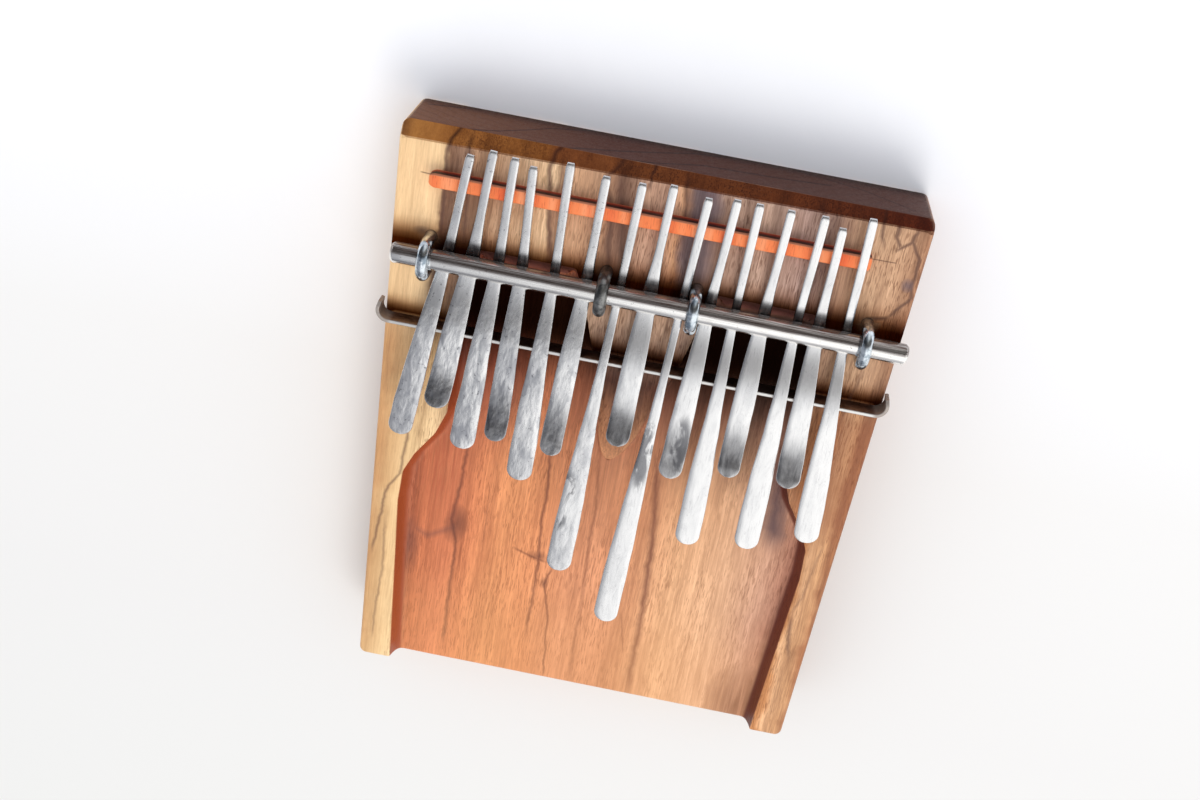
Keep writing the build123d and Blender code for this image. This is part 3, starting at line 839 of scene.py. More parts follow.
def board_wood():
    """Oiled hardwood: pale sapwood, brown top, red hollow, with figure, pores and soot."""
    g, p = new_material("board_wood")
    x, y, z = g.split(p)
    recess = g.attribute("recess")
    wall = g.attribute("wall")

    drift = g.noise(p, (0.02, 0.011, 0.02), 2.0, 0.5)
    sway = g.noise(p, (0.03, 0.085, 0.02), 3.0, 0.55)
    ripple = g.noise(p, (0.12, 0.3, 0.05), 2.0, 0.5)
    wx = x + ((sway - 0.5) * 7.0 + (drift - 0.5) * 8.0)
    thin_x = x + ((sway - 0.5) * 2.2 + (ripple - 0.5) * 1.2)

    # Growth rings, cut at a slant so they show as long streaks and, at the rear, as arcs
    ring_x = (wx + 30.0) * 0.045
    ring_z = (z + 46.0) * 0.05
    reach = g.op("SQRT", ring_x * ring_x + ring_z * ring_z)
    rings = g.noise(g.join(reach * 5.0, y * 0.004, 0.0), 1.0, 3.0, 0.6)
    streak = g.noise(p, (1.1, 0.035, 0.7), 4.0, 0.62, 0.4)
    fine = g.noise(p, (2.3, 0.11, 2.3), 3.0, 0.6)
    cloud = g.noise(p, (0.07, 0.03, 0.06), 3.0, 0.55)
    bands = g.noise(g.join(thin_x, y, z), (0.2, 0.006, 0.1), 3.0, 0.6)
    pores = g.noise(p, (2.6, 0.24, 2.4), 2.0, 0.5)
    pores = g.step(pores, 0.53, 0.62) * g.step(cloud + streak * 0.6, 0.62, 0.9)

    top = g.place_ramp(wx, -85, 85, TOP_TONES)
    arms = g.place_ramp(wx, -85, 85, ARM_TONES)
    top = g.mix(g.step(y, 48.0, 22.0), top, arms)
    # The tongue's tone, with painted shade near the front bridge
    tongue_tone = g.place_ramp(y, -8, 62, TONGUE_TONES)
    top = g.mix(g.attribute("tongue"), top, tongue_tone)

    floor = g.place_ramp(wx, -72, 72, FLOOR_TONES)
    colour = g.mix(recess, top, floor)

    # Streaks and rings
    tone = (streak - 0.5) * 1.0 + (rings - 0.5) * 0.5
    tone = tone + (bands - 0.5) * (1.5 + recess * -0.6)
    tone = tone + (cloud - 0.5) * 0.6
    tone = tone + (fine - 0.5) * (0.9 + recess * -0.35)
    bright = g.op("MAXIMUM", 1.04 + tone, 0.1)
    sapwood = (1.0 - recess) * g.step(wx, -66.0, -70.5)
    depth = 0.46 + (recess * -0.16 + sapwood * -0.32)
    bright = bright * (1.0 - pores * depth)
    bright = bright + (1.02 - bright) * (sapwood * 0.55)
    shade = g.join(bright, bright ** 1.2, bright ** 1.35)
    colour = g.tint(colour, shade)

    # Dark figure on the top
    axes = {"y": (thin_x, y), "x": (y, x)}
    off_hollow = 1.0 - recess
    top_lines = figure(g, axes, TOP_LINES)
    edge_lines = figure(g, axes, EDGE_LINES)
    colour = g.mix(top_lines * off_hollow * 0.8, colour, UMBER)
    colour = g.mix(edge_lines * off_hollow * 0.85, colour, UMBER)
    patches = g.most([
        g.spot(wx, y, (14.5, 82), (6.5, 42.0), 0.5) * 0.6,
        g.spot(wx, y, (54.0, 84), (5.0, 26.0), 0.6) * 0.25,
        g.spot(x, y, (-73.9, 65.3), (3.2, 1.8), 0.7) * 0.7,
        g.spot(x, y, (80.7, 78.0), (2.2, 2.6), 0.6) * 0.75,
    ])
    colour = g.mix(patches * off_hollow, colour, SLATE)

    # Painted shadow behind the rod and the front bridge: a tint, then a darker brown one where it is
    # deepest
    painted_shadow = g.attribute("rod_bridge_shadow")
    colour = g.mix(painted_shadow, colour, g.tint(colour, rgb(196, 150, 96)))
    colour = g.mix(painted_shadow ** 2.0, colour, g.tint(colour, rgb(96, 62, 38)))
    scored = figure(g, axes, SCORED_LINES)
    colour = g.mix(scored * 0.8, colour, DARK_BROWN)

    # Dark figure on the arms
    arm_lines = figure(g, axes, ARM_LINES)
    colour = g.mix(arm_lines * off_hollow * 0.7, colour, UMBER)
    # The right arm made darker in its middle, under the outer tines
    colour = g.mix(g.attribute("right_arm") * 0.55, colour, rgb(150, 88, 54))

    # Dark figure on the floor
    floor_lines = figure(g, axes, FLOOR_LINES)
    knots = g.most([
        g.spot(wx, y, (-52.0, -43.5), (4.6, 8.5), 0.6) * 0.9,
        g.spot(x, y, (-20.0, -50.0), (4.6, 2.4), 0.9) * 0.8,
        g.spot(x, y, (-16.2, -60.5), (1.9, 2.6), 0.8) * 0.8,
    ])
    colour = g.mix(floor_lines * recess * 0.78, colour, rgb(112, 58, 38))
    colour = g.mix(knots * recess * 0.85, colour, rgb(104, 54, 38))
    red_fan = g.spot(x, y, (-59, -20), (12, 34), 0.8) * g.step(fine, 0.45, 0.62)
    colour = g.mix(red_fan * recess * 0.5, colour, rgb(168, 72, 44))
    stains = g.most([
        line_mask(g, wx, y, [(58.0, 12), (57.6, 0), (60.2, -26)], 4.6, 6.0, 0.4),
        g.spot(wx, y, (62, -96), (13, 19), 0.7) * g.step(streak, 0.3, 0.56),
        g.spot(x, y, (-66.0, -56), (4.5, 13), 0.8) * 0.5,
        line_mask(g, y, x, [(-48.0, -66), (-50.5, -60), (-45.5, -52)], 2.2, 3.0) * 0.45,
    ])
    stain_tone = g.mix(g.step(y, -70.0, -40.0), rgb(98, 54, 42), rgb(84, 58, 62))
    colour = g.mix(stains * recess * 0.92, colour, stain_tone)
    # Painted shade under the tines in front of the front bridge, over the floor's grain
    between = g.place_ramp(thin_x, -60, 60, BETWEEN_TONES)
    colour = g.mix(g.attribute("between") * 0.85, colour, g.tint(between, shade))
    colour = g.mix(g.attribute("golden") * 0.3, colour, rgb(222, 156, 98))
    # Painted shade, near black, on the floor of the hollow under the tines between the front bridge and the
    # rod
    painted_hollow_shade = g.attribute("painted_hollow_shade")
    colour = g.mix(painted_hollow_shade * 0.97, colour, rgb(14, 3, 1))

    # Walls of the hollow, the right one painted darker as shade
    wall_tone = g.place_ramp(x, -72, 72, WALL_TONES)
    wall_tone = g.mix(g.step(y, 46.0, 57.0), wall_tone, rgb(140, 84, 74))
    on_wall = g.step(wall, 0.22, 0.5) * recess
    beside = g.step(y, 24.0, 6.0) * g.step(abs(x), 24.0, 30.0)
    front_part = g.op("MAXIMUM", beside, g.step(y, 55.0, 59.0))
    colour = g.mix(on_wall * front_part * 0.9, colour, wall_tone)

    # Rear bevel, end grain and the lower sides
    bevel_tone = g.place_ramp(x, -85, 85, BEVEL_TONES)
    bevel_tone = g.mix(top_lines * 0.8, bevel_tone, rgb(52, 22, 12))
    _, ny, nz = g.split(g.geometry("True Normal"))
    bevel = g.step(ny, 0.3, 0.6) * g.step(nz, 0.3, 0.6)
    colour = g.mix(bevel, colour, g.tint(bevel_tone, shade))
    end_tone = g.place_ramp(x, -85, 85, END_TONES)
    end_tone = g.mix(g.step(z, 9.0, 0.0), end_tone, g.tint(end_tone, rgb(150, 132, 130)))
    arcs = g.op("SINE", reach * 30.0 + (cloud - 0.5) * 14.0)
    end_tone = g.mix(g.step(arcs, 0.6, 1.0) * 0.2, end_tone, rgb(44, 24, 20))
    end_tone = g.mix(g.step(fine, 0.5, 0.62) * 0.3, end_tone, rgb(110, 80, 70))
    arc_lines = figure(g, {"x": (z, x)}, ARC_LINES)
    end_tone = g.mix(arc_lines * 0.75, end_tone, rgb(40, 22, 20))
    rear = g.step(ny, 0.75, 0.95) * g.step(abs(nz), 0.5, 0.2)
    colour = g.mix(rear, colour, end_tone)

    # Worn, paler edges
    worn = g.step(g.geometry("Pointiness"), 0.53, 0.6) * g.step(cloud, 0.35, 0.6)
    colour = g.mix(worn * 0.3, colour, rgb(226, 186, 146))

    # Relief of the grain and of the gouge, and the shine
    height = streak * 0.5 + (fine * 0.5 + pores * -0.7)
    tooling = g.noise(p, (0.5, 0.2, 0.4), 2.0, 0.5)
    height = height + tooling * (0.8 + recess * 1.6)
    bump = g.bump(height, 0.5, 0.12)
    rough = 0.4 + (pores * 0.15 + (streak - 0.5) * 0.3)
    rough = rough + rear * 0.08
    dull = g.op("MAXIMUM", g.op("MAXIMUM", bevel * 0.75, rear * 0.85), g.op("MAXIMUM", painted_hollow_shade, painted_shadow))
    keep = 1.0 - dull
    return g.finish(colour, rough, 0.0, bump, specular=keep * 0.4, coat=keep * 0.1)


def orange_wood():
    """Reddish strip, brighter and darker by turns, with worn edges and its rear side painted near black as
    shade.
    """
    g, p = new_material("orange_wood")
    _, _, z = g.split(p)
    blocks = g.noise(p, (0.11, 0.0, 0.0), 2.0, 0.5)
    grain = g.noise(p, (2.6, 0.25, 0.8), 3.0, 0.6)
    base = g.ramp(blocks, [
        (0.32, rgb(230, 96, 50)), (0.5, rgb(244, 132, 76)),
        (0.6, rgb(248, 154, 104)), (0.72, rgb(240, 124, 74)),
    ])
    colour = g.mix(g.step(grain, 0.5, 0.72) * 0.45, base, rgb(168, 52, 26))
    # Rear-facing side painted near black: painted shade
    ny = g.split(g.geometry("Normal"))[1]
    colour = g.mix(g.step(ny, 0.25, 0.7), colour, rgb(44, 3, 2))
    colour = g.mix(g.step(z, BOARD_TOP + 3.0, BOARD_TOP + 0.5), colour, rgb(150, 46, 22))
    worn = g.step(g.geometry("Pointiness"), 0.54, 0.62)
    colour = g.mix(worn * 0.4, colour, rgb(244, 156, 112))
    bump = g.bump(grain, 0.4, 0.08)
    return g.finish(colour, 0.42 + grain * 0.2, 0.0, bump, specular=0.4)


# ---------------------------------------------------------------- metal finishes

# Temper blotches on the tines: x, y and half length
TINE_BLOTCHES = [(-13.2, -10.0, 9.0), (-14.6, -20.0, 5.0), (9.6, 8.0, 16.0), (20.6, 14.0, 12.0)]


def tine_steel():
    """Hand-forged spring steel: hammer dimples, cloudy scale, brighter to the right; painted darker
    reflection on the left tines, the curled tips and just behind the rod.
    """
    g, p = new_material("tine_steel")
    x, y, _ = g.split(p)
    left = g.step(x, 18.0, -40.0)
    front = g.step(y, 52.0, 30.0)
    cloud = g.noise(p, (0.3, 0.1, 0.2), 4.0, 0.65, 0.8)
    dents = g.noise(p, (0.45, 0.22, 0.4), 2.0, 0.5)
    brush = g.noise(p, (2.2, 0.12, 1.0), 3.0, 0.6)
    specks = g.noise(p, 0.9, 3.0, 0.65)
    pits = g.step(specks, 0.6, 0.68) * g.step(cloud, 0.42, 0.58)
    mottled = g.step(cloud, 0.46, 0.66) * (0.08 + left * 0.5) * (0.3 + front * 0.7)
    broad = g.noise(p, (0.1, 0.05, 0.05), 2.0, 0.5)
    # Painted darker reflection on the left tines, most towards the front, in cloudy patches
    colour = g.mix(left * front * (g.step(broad, 0.4, 0.62) * 0.42), rgb(240, 239, 238), rgb(142, 144, 152))
    colour = g.mix(mottled, colour, rgb(150, 152, 160))
    blotches = g.most([g.spot(x, y, (at_x, at_y), (4.0, reach)) for at_x, at_y, reach in TINE_BLOTCHES])
    blotches = g.step(blotches, 0.05, 0.5) * g.step(cloud, 0.4, 0.56)
    colour = g.mix(blotches * 0.75, colour, rgb(96, 96, 102))
    colour = g.mix(g.step(brush, 0.55, 0.75) * 0.25, colour, rgb(150, 150, 154))
    colour = g.mix(pits * (0.12 + left * 0.5), colour, rgb(70, 68, 76))
    # Forge scale with painted dark reflection on the curled tips, and painted shade where the tine passes
    # just behind the rod
    scale = g.attribute("scale")
    smoke = g.noise(p, (0.5, 0.1, 0.3), 4.0, 0.65, 0.5)
    scale_and_shade = scale * (0.7 + (smoke - 0.5) * 1.3)
    colour = g.mix(g.op("MINIMUM", scale_and_shade, 0.93), colour, rgb(74, 72, 76))
    amount = (0.07 + left * 0.75) * (0.15 + front * 0.85)
    height = dents * amount + brush * 0.03
    bump = g.bump(height, 0.45, 0.5)
    rough = 0.24 + ((cloud - 0.5) * 0.2 + left * 0.04)
    ny = g.split(g.geometry("Normal"))[1]
    cut_end = g.step(ny, 0.3, 0.7) * g.step(y, 92.0, 93.5)
    colour = g.mix(cut_end, colour, rgb(214, 212, 212))
    return g.finish(colour, rough, 1.0 - cut_end * 0.75, bump)


def bar_steel():
    """Cold-drawn rod with fine lines along its length; its rear half painted dark brown, a painted
    reflection with a little tarnish.
    """
    g, p = new_material("bar_steel")
    lines = g.noise(p, (0.05, 5.0, 5.0), 3.0, 0.65)
    cloud = g.noise(p, (0.1, 0.5, 0.5), 3.0, 0.6)
    pits = g.step(g.noise(p, (0.9, 1.2, 1.2), 2.0, 0.5), 0.68, 0.75)
    colour = g.mix(g.step(lines, 0.5, 0.7) * 0.35, rgb(250, 248, 245), rgb(176, 166, 158))
    colour = g.mix(g.step(cloud, 0.5, 0.75) * 0.25, colour, rgb(176, 166, 154))
    colour = g.mix(pits * 0.6, colour, rgb(80, 66, 58))
    ny = g.split(g.geometry("Normal"))[1]
    # Rear-facing half painted dark brown: painted reflection of the dark room, with some tarnish in the
    # drawn lines
    tarnish_and_shade = g.step(ny, 0.04, 0.34) * (0.45 + g.step(lines, 0.35, 0.65) * 0.55)
    colour = g.mix(tarnish_and_shade, colour, rgb(84, 60, 50))
    bump = g.bump(lines + cloud * 0.6, 0.35, 0.06)
    rough = 0.07 + lines * 0.14
    return g.finish(colour, rough, 1.0 - tarnish_and_shade * 0.25, bump)


def bridge_steel():
    """Cut sheet-steel strip; its filed top edge is painted near white as a highlight."""
    g, p = new_material("bridge_steel")
    x, _, _ = g.split(p)
    rolled = g.noise(p, (0.25, 2.0, 3.0), 3.0, 0.6)
    cloud = g.noise(p, 0.22, 3.0, 0.6)
    colour = g.mix(g.step(cloud, 0.4, 0.68), rgb(150, 132, 122), rgb(104, 86, 78))
    # Upward faces painted near white: painted highlight on the filed top edge
    nz = g.split(g.geometry("Normal"))[2]
    colour = g.mix(g.step(nz, 0.4, 0.8), colour, rgb(238, 236, 232))
    hook = g.step(abs(x), 79.0, 81.0)
    colour = g.mix(hook * 0.8, colour, rgb(150, 134, 122))
    colour = g.mix(g.step(rolled, 0.58, 0.75) * 0.3, colour, rgb(96, 84, 78))
    bump = g.bump(rolled + cloud, 0.35, 0.08)
    metal = 1.0 - hook * 0.6
    return g.finish(colour, 0.26 + rolled * 0.2, metal, bump)


def plated_steel(name, bright, deep, shine):
    """Plated wire and small fastenings, with drawn lines and dulled patches."""
    g, p = new_material(name)
    drawn = g.noise(p, (4.0, 0.6, 0.6), 3.0, 0.6)
    cloud = g.noise(p, 0.45, 3.0, 0.6)
    colour = g.mix(g.step(cloud, 0.4, 0.65), bright, deep)
    colour = g.mix(g.step(drawn, 0.52, 0.7) * 0.35, colour, deep)
    bump = g.bump(drawn * 0.5 + cloud, 0.4, 0.08)
    return g.finish(colour, shine + cloud * 0.16, 1.0, bump)


# Studio floor, front to rear
PAPER_TONES = [
    (-260, 226, 225, 221), (-110, 230, 228, 225), (0, 236, 234, 231), (110, 250, 250, 252),
]


def floor_paper():
    """Matt paper, painted a little paler towards the rear and darker in front against the lamps' fall-off.
    """
    g, p = new_material("floor_paper")
    tooth = g.noise(p, 0.6, 3.0, 0.6)
    # Painted light: paler to the rear, where the lamps fall off and the board shades the paper
    base = g.place_ramp(g.split(p)[1], -260, 200, PAPER_TONES)
    colour = g.mix(tooth * 0.05, base, rgb(226, 222, 216))
    return g.finish(colour, 0.9, 0.0, g.bump(tooth, 0.05, 0.05), specular=0.1)


# ---------------------------------------------------------------------- pieces

# Tine profile: heights of its middle over the bridges and under the rod, slopes and thicknesses
OVER_BRIDGE = 0.86
UNDER_BAR = 0.75
OVER_BACK = 1.06
FREE_SLOPE = 0.15
REAR_SLOPE = 0.14
CURL_RISE = 3.5
CURL_HALFWAY = 0.77
THICKNESS = [0.95, 1.05, 1.25, 1.4, 2.0, 2.0]
# Tine outline: the shank, how far behind the rod it starts, and the round tip
SHANK_WIDTH = 2.9
NECK = 18.0
TIP_ROUND = 0.42
END_EASED = 1.3
# Hammered surface of the free part
WAVER = 0.16
WIDTH_WAVER = 0.22
DENT = 0.10
FINE_DENT = 0.05


def section(width, thick, r, n=4):
    """Rounded rectangle of the given width and thickness, centred on the origin."""
    r = min(r, width / 2 - 0.02, thick / 2 - 0.01)
    out = []
    for cx, cz, start in ((1, -1, -90), (1, 1, 0), (-1, 1, 90), (-1, -1, 180)):
        for k in range(n + 1):
            a = math.radians(start + 90 * k / n)
            out.append((cx * (width / 2 - r) + r * math.cos(a), cz * (thick / 2 - r) + r * math.sin(a)))
        if cz == 1 and cx == 1:
            out += [((width / 2 - r) * t, thick / 2) for t in (0.6, 0.2, -0.2, -0.6)]
        if cz == -1 and cx == -1:
            out += [((width / 2 - r) * t, -thick / 2) for t in (-0.6, -0.2, 0.2, 0.6)]
    return out


def tine(number, row, material):
    """One tine: flat paddle in front, narrow shank, thick squared rear end."""
    x_rear, y_rear, x_tip, y_tip, w_bar, w_bridge, w_paddle, curl = row
    lean = math.atan2(x_rear - x_tip, y_rear - y_tip)
    share = (BRIDGE_Y - y_tip) / (y_rear - y_tip)
    x_bridge = x_tip + (x_rear - x_tip) * share
    length = (BRIDGE_Y - y_tip) / math.cos(lean)
    rear = (y_rear - BRIDGE_Y) / math.cos(lean)
    x_bar = x_bridge + (BAR_Y - BRIDGE_Y) * math.tan(lean)
    bar_back = (bar_y(x_bar) - BRIDGE_Y) / math.cos(lean)
    back_back = (BACK_Y - BRIDGE_Y) / math.cos(lean)

    bridge_mid = BRIDGE_HEIGHT + OVER_BRIDGE
    bar_mid = BAR_Z - BAR_R - BOARD_TOP - UNDER_BAR
    back_mid = BACK_HEIGHT + OVER_BACK
    half_mid = bridge_mid + FREE_SLOPE / 2 * length + (CURL_HALFWAY if curl else 0.0)
    tip_mid = bridge_mid + FREE_SLOPE * length + (CURL_RISE if curl else 0.0)
    stations = [
        (-length, tip_mid), (-0.5 * length, half_mid), (0.0, bridge_mid), (bar_back, bar_mid),
        (back_back, back_mid), (rear, back_mid + REAR_SLOPE * (rear - back_back)),
    ]
    radius = TIP_ROUND * w_paddle
    near_tip = [radius * (1 - math.cos(math.pi / 2 * k / 9)) for k in range(10)]
    near_tip[0] = 0.04
    body = np.linspace(-length + radius, rear - END_EASED, 62)
    s = np.array([-length + e for e in near_tip] + list(body[1:]) + [rear - 0.8, rear - 0.35, rear])
    mid = smooth_curve(stations, s)
    thick = np.interp(s, [-length, -0.5 * length, 0, bar_back, back_back - 6, rear], THICKNESS)
    neck = bar_back + NECK
    swell = -length + min(0.3 * length, 14)
    plan = [(swell, w_paddle), (0.0, w_bridge), (bar_back, w_bar), (neck, SHANK_WIDTH)]
    t = np.clip(s, swell, neck)
    width = np.interp(t, *zip(*plan))
    eased = smooth_curve([(swell - 8, w_paddle)] + plan + [(neck + 10, SHANK_WIDTH)], t)
    width = 0.25 * width + 0.75 * eased
    from_tip = np.clip(s + length, 0, radius)
    rounding = radius - np.sqrt(np.maximum(radius ** 2 - (radius - from_tip) ** 2, 0.0))
    width = width - 2 * rounding

    ca, sa = math.cos(lean), math.sin(lean)
    rings = []
    for sk, m, th, w in zip(s, mid, thick, width):
        key = Vector((number * 7.3, sk * 0.11, 3.0))
        free = float(smoothstep(4.0, -10.0, sk))
        shift = WAVER * free * noise.noise(key)
        uneven = noise.noise(key * 1.7 + Vector((0, 0, 9)))
        w = w + WIDTH_WAVER * free * uneven * min(1.0, (sk + length) / 6)
        end = max(0.0, (sk - (rear - END_EASED)) / END_EASED)
        w, th = w - 0.7 * end, th - 0.9 * end ** 2
        tilt = math.atan((np.interp(sk + 0.2, s, mid) - np.interp(sk - 0.2, s, mid)) / 0.4)
        ring = []
        for px, pz in section(w, th, 0.42 if sk < 0 else 0.34):
            edge = 1 - min(1.0, abs(px) / max(w / 2, 0.1)) ** 3
            if pz > 0:
                dent = noise.noise(Vector((px * 0.32 + number * 11, sk * 0.2, 1.0)))
                small = noise.noise(Vector((px * 0.7, sk * 0.5, number * 5.0)))
                pz += (DENT * free * dent + FINE_DENT * small * free)
                pz -= 0.05 * (1 - edge)
            along = sk - pz * math.sin(tilt)
            up = BOARD_TOP + (m + pz * math.cos(tilt))
            across = px + shift
            ring.append((x_bridge + across * ca + along * sa, BRIDGE_Y - across * sa + along * ca, up))
        rings.append(ring)
    verts, faces = loft(rings)
    # Darkness for the scale attribute: forge scale with painted dark reflection on curled tips, painted
    # shade in a band just behind the rod, and less of it on the filed rims
    reach = (s + length) / length
    dark = curl * smoothstep(0.66, 0.22, reach) * (0.92 - 0.4 * smoothstep(0.14, 0.0, reach))
    behind_bar = smoothstep(bar_back + 7.6, bar_back + 5.6, s)
    behind_bar = behind_bar * smoothstep(bar_back - 1.0, bar_back + 1.0, s)
    dark = dark + 1.15 * behind_bar
    filed = np.array([[abs(px) > w / 2 - 0.25 and sk < 0 for px, _ in section(w, 1.0, 0.42)]
                      for sk, w in zip(s, width)])
    scale = np.concatenate([(dark[:, None] * np.where(filed, 0.25, 1.0)).ravel(), [dark[0], dark[-1]]])
    obj = make_object(f"tine_{number:02d}_forged", verts, faces, material, 50.0, {"scale": scale})
    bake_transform(obj)
    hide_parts(f"tine_{number:02d}")


def place(obj, slot, *nodes):
    """Let a piece ride on the board's body and stand for its CAD nodes, which it hides."""
    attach(obj, ROOT)
    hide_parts(*nodes)


def pressure_bar(material):
    """Rod with eased ends, set slightly askew."""
    end = [(0.0, 0.95), (0.12, 0.78), (0.85, 0.12), (1.15, 0.0)]
    stations = [(BAR_X0 + at, BAR_R - cut) for at, cut in end]
    stations += [(x, BAR_R) for x in np.arange(BAR_X0 + 4, BAR_X1 - 3, 3.0)]
    stations += [(BAR_X1 - at, BAR_R - cut) for at, cut in reversed(end)]
    rings = []
    for x, r in stations:
        ring = []
        for ca, sa in circle(0, 0, 1, 56):
            dent = 0.012 * noise.noise(Vector((x * 0.12, ca * 2, sa * 2)))
            ring.append((x, bar_y(x) + (r + dent) * ca, BAR_Z + (r + dent) * sa))
        rings.append(ring)
    place(make_object("pressure_bar_rod", *loft(rings), material), "bar_steel", "pressure_bar")


LEG_END = 1.2
THREAD_TOP = 14.0
THREAD_PITCH = 0.7
THREAD_DEPTH = 0.22


def u_bolt(number, x, material, slot):
    """Bent wire over the rod, with a cut thread on the lower end of each leg."""
    y0 = bar_y(x)
    path = [(LEG_END, 0.55), (LEG_END + 0.25, 0.2)]
    z = LEG_END + 0.6
    while z < THREAD_TOP:
        path += [(z, 0.0), (z + THREAD_PITCH / 2, THREAD_DEPTH)]
        z += THREAD_PITCH
    path += [(z, 0.0), (22.0, 0.0), (29.0, 0.0), (33.0, 0.0)]
    side = [(y0 + LEG_OFFSET, z, cut) for z, cut in path]
    arch = []
    for k in range(25):
        a = math.pi * k / 24
        arch.append((y0 + LEG_OFFSET * math.cos(a), BAR_Z + LEG_OFFSET * math.sin(a), 0.0))
    line = side + arch + [(2 * y0 - y, z, cut) for y, z, cut in reversed(side)]
    rings = []
    for (y, z, cut), (ny, nz) in zip(line, -square_to(line)):
        r = WIRE_R - 0.005 - cut
        rings.append([(x + r * ca, y + r * sa * ny, z + r * sa * nz) for ca, sa in circle(0, 0, 1, 24)])
    place(make_object(f"u_bolt_{number}_wire", *loft(rings), material), slot, f"u_bolt_{number}")


BRIDGE_THICKNESS = 1.2


def front_bridge(material):
    """Steel strip on edge, its ends bent rearwards round the board."""
    hook, tail, lean = 3.6, 1.6, math.radians(12)
    x0, x1 = -84.2, 83.6
    line = []
    for k in range(13):
        a = (math.pi / 2 + lean) * (1 - k / 12)
        line.append((x0 + hook - hook * math.sin(a), BRIDGE_Y + hook - hook * math.cos(a)))
    first = line[0]
    start = (first[0] + tail * math.sin(lean), first[1] + tail * math.cos(lean))
    left = [start, tuple((s + f) / 2 for s, f in zip(start, first))] + line
    line = left + [(x, BRIDGE_Y) for x in np.arange(x0 + hook + 3, x1 - hook - 1, 3.0)]
    line += [(x0 + x1 - x, y) for x, y in reversed(left)]
    rings = []
    for k, ((x, y), (nx, ny)) in enumerate(zip(line, square_to(line))):
        taper = min(1.0, 0.72 + 0.28 * min(k, len(line) - 1 - k) / 2)
        wave = min(0.0, 0.08 * noise.noise(Vector((x * 0.05, 2.0, 0.0))))
        shape = section(BRIDGE_THICKNESS, BRIDGE_HEIGHT * taper, 0.3, 3)
        rings.append([(x + nx * across, y + ny * across, BOARD_TOP + BRIDGE_HEIGHT / 2 + up + wave)
                      for across, up in shape])
    place(make_object("front_bridge_strip", *loft(rings), material), "bridge_steel", "front_bridge")


def back_bridge(material):
    """Wooden strip with a crowned top, its ends worn and the left one pointed."""
    x0, x1, width = -73.2, 67.6, 4.8
    stations = [(x0, 0.55), (x0 + 0.25, 0.7), (x0 + 0.8, 0.85), (x0 + 1.8, 1.0)]
    stations += [(x, 1.0) for x in np.arange(x0 + 5, x1 - 2, 2.0)]
    stations += [(x1 - 0.8, 1.0), (x1 - 0.3, 0.88), (x1, 0.7)]
    quarter = [(1 - math.cos(a), 1 - math.sin(a)) for a in (math.pi / 2 * k / 7 for k in range(8))]
    rings = []
    for x, grow in stations:
        half = width / 2 * grow
        high = BACK_HEIGHT * (0.55 + 0.45 * grow)
        rear = [(half, 0.0), (half, (high - grow) * 0.5)]
        rear += [(half - grow * inset, high - grow * drop) for inset, drop in quarter]
        wave = 0.12 * noise.noise(Vector((x * 0.07, 5.0, 0.0)))
        shape = rear + [(-y, z) for y, z in reversed(rear)]
        rings.append([(x, BACK_Y + y + wave, BOARD_TOP + 0.02 + z) for y, z in shape])
    place(make_object("back_bridge_strip", *loft(rings), material), "orange_wood", "back_bridge")


def washer(x, y):
    """Flat ring with eased edges."""
    profile = [(2.15, 6.2), (2.3, 6.18), (4.3, 6.18), (4.5, 6.32)]
    profile += [(4.5, 6.84), (4.3, 6.98), (2.3, 6.98), (2.15, 6.9)]
    around = circle(0, 0, 1, 32)
    rings = [[(x + r * ca, y + r * sa, z) for r, z in profile] for ca, sa in around + around[:1]]
    return loft(rings, False, False)


def nut(x, y, turn):
    """Hexagon nut with chamfered corners and a countersunk bore."""
    low, high, flat, bore, count = 2.96, 6.16, 3.5, 2.03, 48
    rows = []
    for r_cap, z in ((3.35, low), (3.75, low + 0.35), (4.05, low + 0.7), (4.05, high - 0.7),
                     (3.75, high - 0.35), (3.35, high)):
        row = []
        for k in range(count):
            a = 2 * math.pi * k / count
            r = min(flat / math.cos((a % (math.pi / 3)) - math.pi / 6), r_cap)
            row.append((x + r * math.cos(a + turn), y + r * math.sin(a + turn), z))
        rows.append(row)
    for r, z in ((bore + 0.3, high), (bore, high - 0.3), (bore, low + 0.3), (bore + 0.3, low)):
        rows.append([(px, py, z) for px, py in circle(x, y, r, count, turn)])
    return loft(rows + rows[:1], False, False)


def fastenings(material):
    """Washers and nuts of all eight legs, each nut turned differently."""
    verts, faces = merge([washer(x, y) for x, y in legs()])
    place(make_object("washer_set", verts, faces, material), "zinc_steel", "washers")
    verts, faces = merge([nut(x, y, 0.4 + 0.9 * k) for k, (x, y) in enumerate(legs())])
    place(make_object("nut_set", verts, faces, material), "zinc_steel", "nuts")


def board(material):
    """The one solid board, its faces welded together."""
    verts, faces, attributes = board_mesh()
    obj = make_object("soundboard_block", verts, faces, material, 38.0, attributes, weld=True)
    place(obj, "board_wood", "soundboard")


# ------------------------------------------------------------- room and camera

def floor():
    """Pale floor, in squares so that its shading has points to work from."""
    count, half = 40, 2500.0
    marks = [(k / count * 2 - 1) * half for k in range(count + 1)]
    verts = [(x, y, -0.05) for y in marks for x in marks]
    faces = []
    for j in range(count):
        for i in range(count):
            a = j * (count + 1) + i
            faces.append((a, a + 1, a + count + 2, a + count + 1))
    make_object("studio_floor", verts, faces, floor_paper())


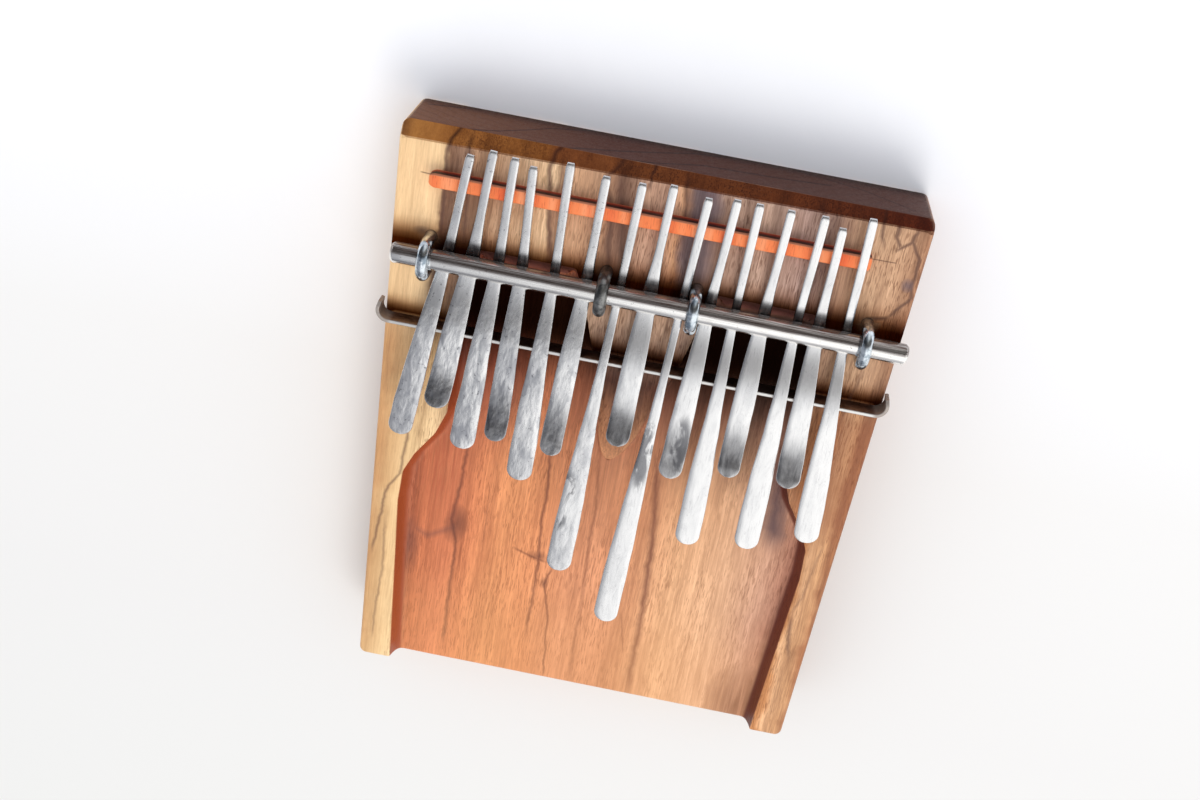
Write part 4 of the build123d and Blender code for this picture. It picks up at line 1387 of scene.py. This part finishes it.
# What a mirror sees from front to rear and from left to right, as a place from 0 to 1 and a
# linear colour: bright in front and overhead, dark where the viewer stands, dimmer at the left
WORLD_DEPTH = [
    (0.0, 0.34, 0.34, 0.36), (0.07, 0.55, 0.55, 0.57), (0.14, 1.0, 1.0, 1.0), (0.5, 1.0, 1.0, 1.0),
    (0.57, 0.8, 0.81, 0.83), (0.64, 0.24, 0.23, 0.23), (0.70, 0.06, 0.055, 0.05), (0.85, 0.12, 0.11, 0.1),
    (0.93, 0.55, 0.55, 0.55), (1.0, 0.7, 0.7, 0.71),
]
WORLD_ACROSS = [
    (0.0, 0.26, 0.27, 0.3), (0.41, 0.34, 0.35, 0.38), (0.46, 0.6, 0.61, 0.63), (0.51, 0.94, 0.945, 0.95),
    (0.55, 1.0, 1.0, 1.0), (1.0, 1.0, 1.0, 0.99),
]
MIRROR_STRENGTH = 1.2
# What lights the dull surfaces, from front to rear
SOFT_DEPTH = [(0.0, 0.96, 0.98, 1.0), (1.0, 0.95, 0.985, 1.07)]
SOFT_STRENGTH = 0.86
KEY_POWER = 12.5
FILL_POWER = 1.0


def room_light():
    """Soft light from the front and above; mirrors see a darker room behind the object."""
    world = bpy.data.worlds.new("studio")
    bpy.context.scene.world = world
    g = Graph(world)

    def sky(along, stops):
        unit = g.rescale(along, (-1.0, 1.0, 0.0, 1.0))
        return g.ramp(unit, [(at, (*tone, 1.0)) for at, *tone in stops])

    x, y, _ = g.split(g.node("TexCoord", {}, "Generated"))
    seen = g.tint(sky(y, WORLD_DEPTH), sky(x, WORLD_ACROSS))
    mirrored = g.node("Background", {"Color": seen, "Strength": MIRROR_STRENGTH})
    soft = g.node("Background", {"Color": sky(y, SOFT_DEPTH), "Strength": SOFT_STRENGTH})
    glossy = g.node("LightPath", {}, "Is Glossy Ray")
    g.add("OutputWorld", {0: g.node("MixShader", {0: glossy, 1: soft, 2: mirrored})})
    soft_box("key_light", (0.55, -0.8, 1.5), 0.9, KEY_POWER, (1.0, 0.975, 0.94))
    soft_box("fill_light", (-0.8, -0.5, 1.0), 0.9, FILL_POWER, (0.95, 0.97, 1.0))


def soft_box(name, at, size, power, colour):
    """Square lamp aimed at the object, left out of mirrors."""
    light = bpy.data.lights.new(name, "AREA")
    light.shape = "SQUARE"
    light.size = size
    light.energy = power
    light.color = colour
    obj = bpy.data.objects.new(name, light)
    obj.location = at
    obj.rotation_euler = (Vector((0, 0, 0.02)) - Vector(at)).to_track_quat("-Z", "Y").to_euler()
    obj.visible_glossy = False
    bpy.context.scene.collection.objects.link(obj)


def camera():
    """Camera above the rear of the board, rolled so that the board lies askew."""
    data = bpy.data.cameras.new("view")
    data.lens = 46.4
    data.sensor_width = 36.0
    obj = bpy.data.objects.new("view", data)
    obj.location = (0.00617, 0.23938, 0.49483)
    obj.rotation_euler = Euler((-0.4324, 0.1073, 0.1640))
    bpy.context.scene.collection.objects.link(obj)
    bpy.context.scene.camera = obj
    bpy.context.scene.view_settings.view_transform = "Standard"


def build():
    """Every piece, then the floor, light and camera."""
    board(board_wood())
    back_bridge(orange_wood())
    front_bridge(bridge_steel())
    pressure_bar(bar_steel())
    zinc = plated_steel("zinc_steel", rgb(226, 234, 240), rgb(150, 164, 176), 0.12)
    dull = plated_steel("dull_steel", rgb(150, 150, 148), rgb(92, 92, 92), 0.3)
    for number, x in enumerate(U_BOLT_X, 1):
        is_dull = number == DULL_U_BOLT
        u_bolt(number, x, dull if is_dull else zinc, "dull_steel" if is_dull else "zinc_steel")
    fastenings(zinc)
    steel = tine_steel()
    for number, row in enumerate(TINES, 1):
        tine(number, row, steel)
    floor()
    room_light()
    camera()


build()
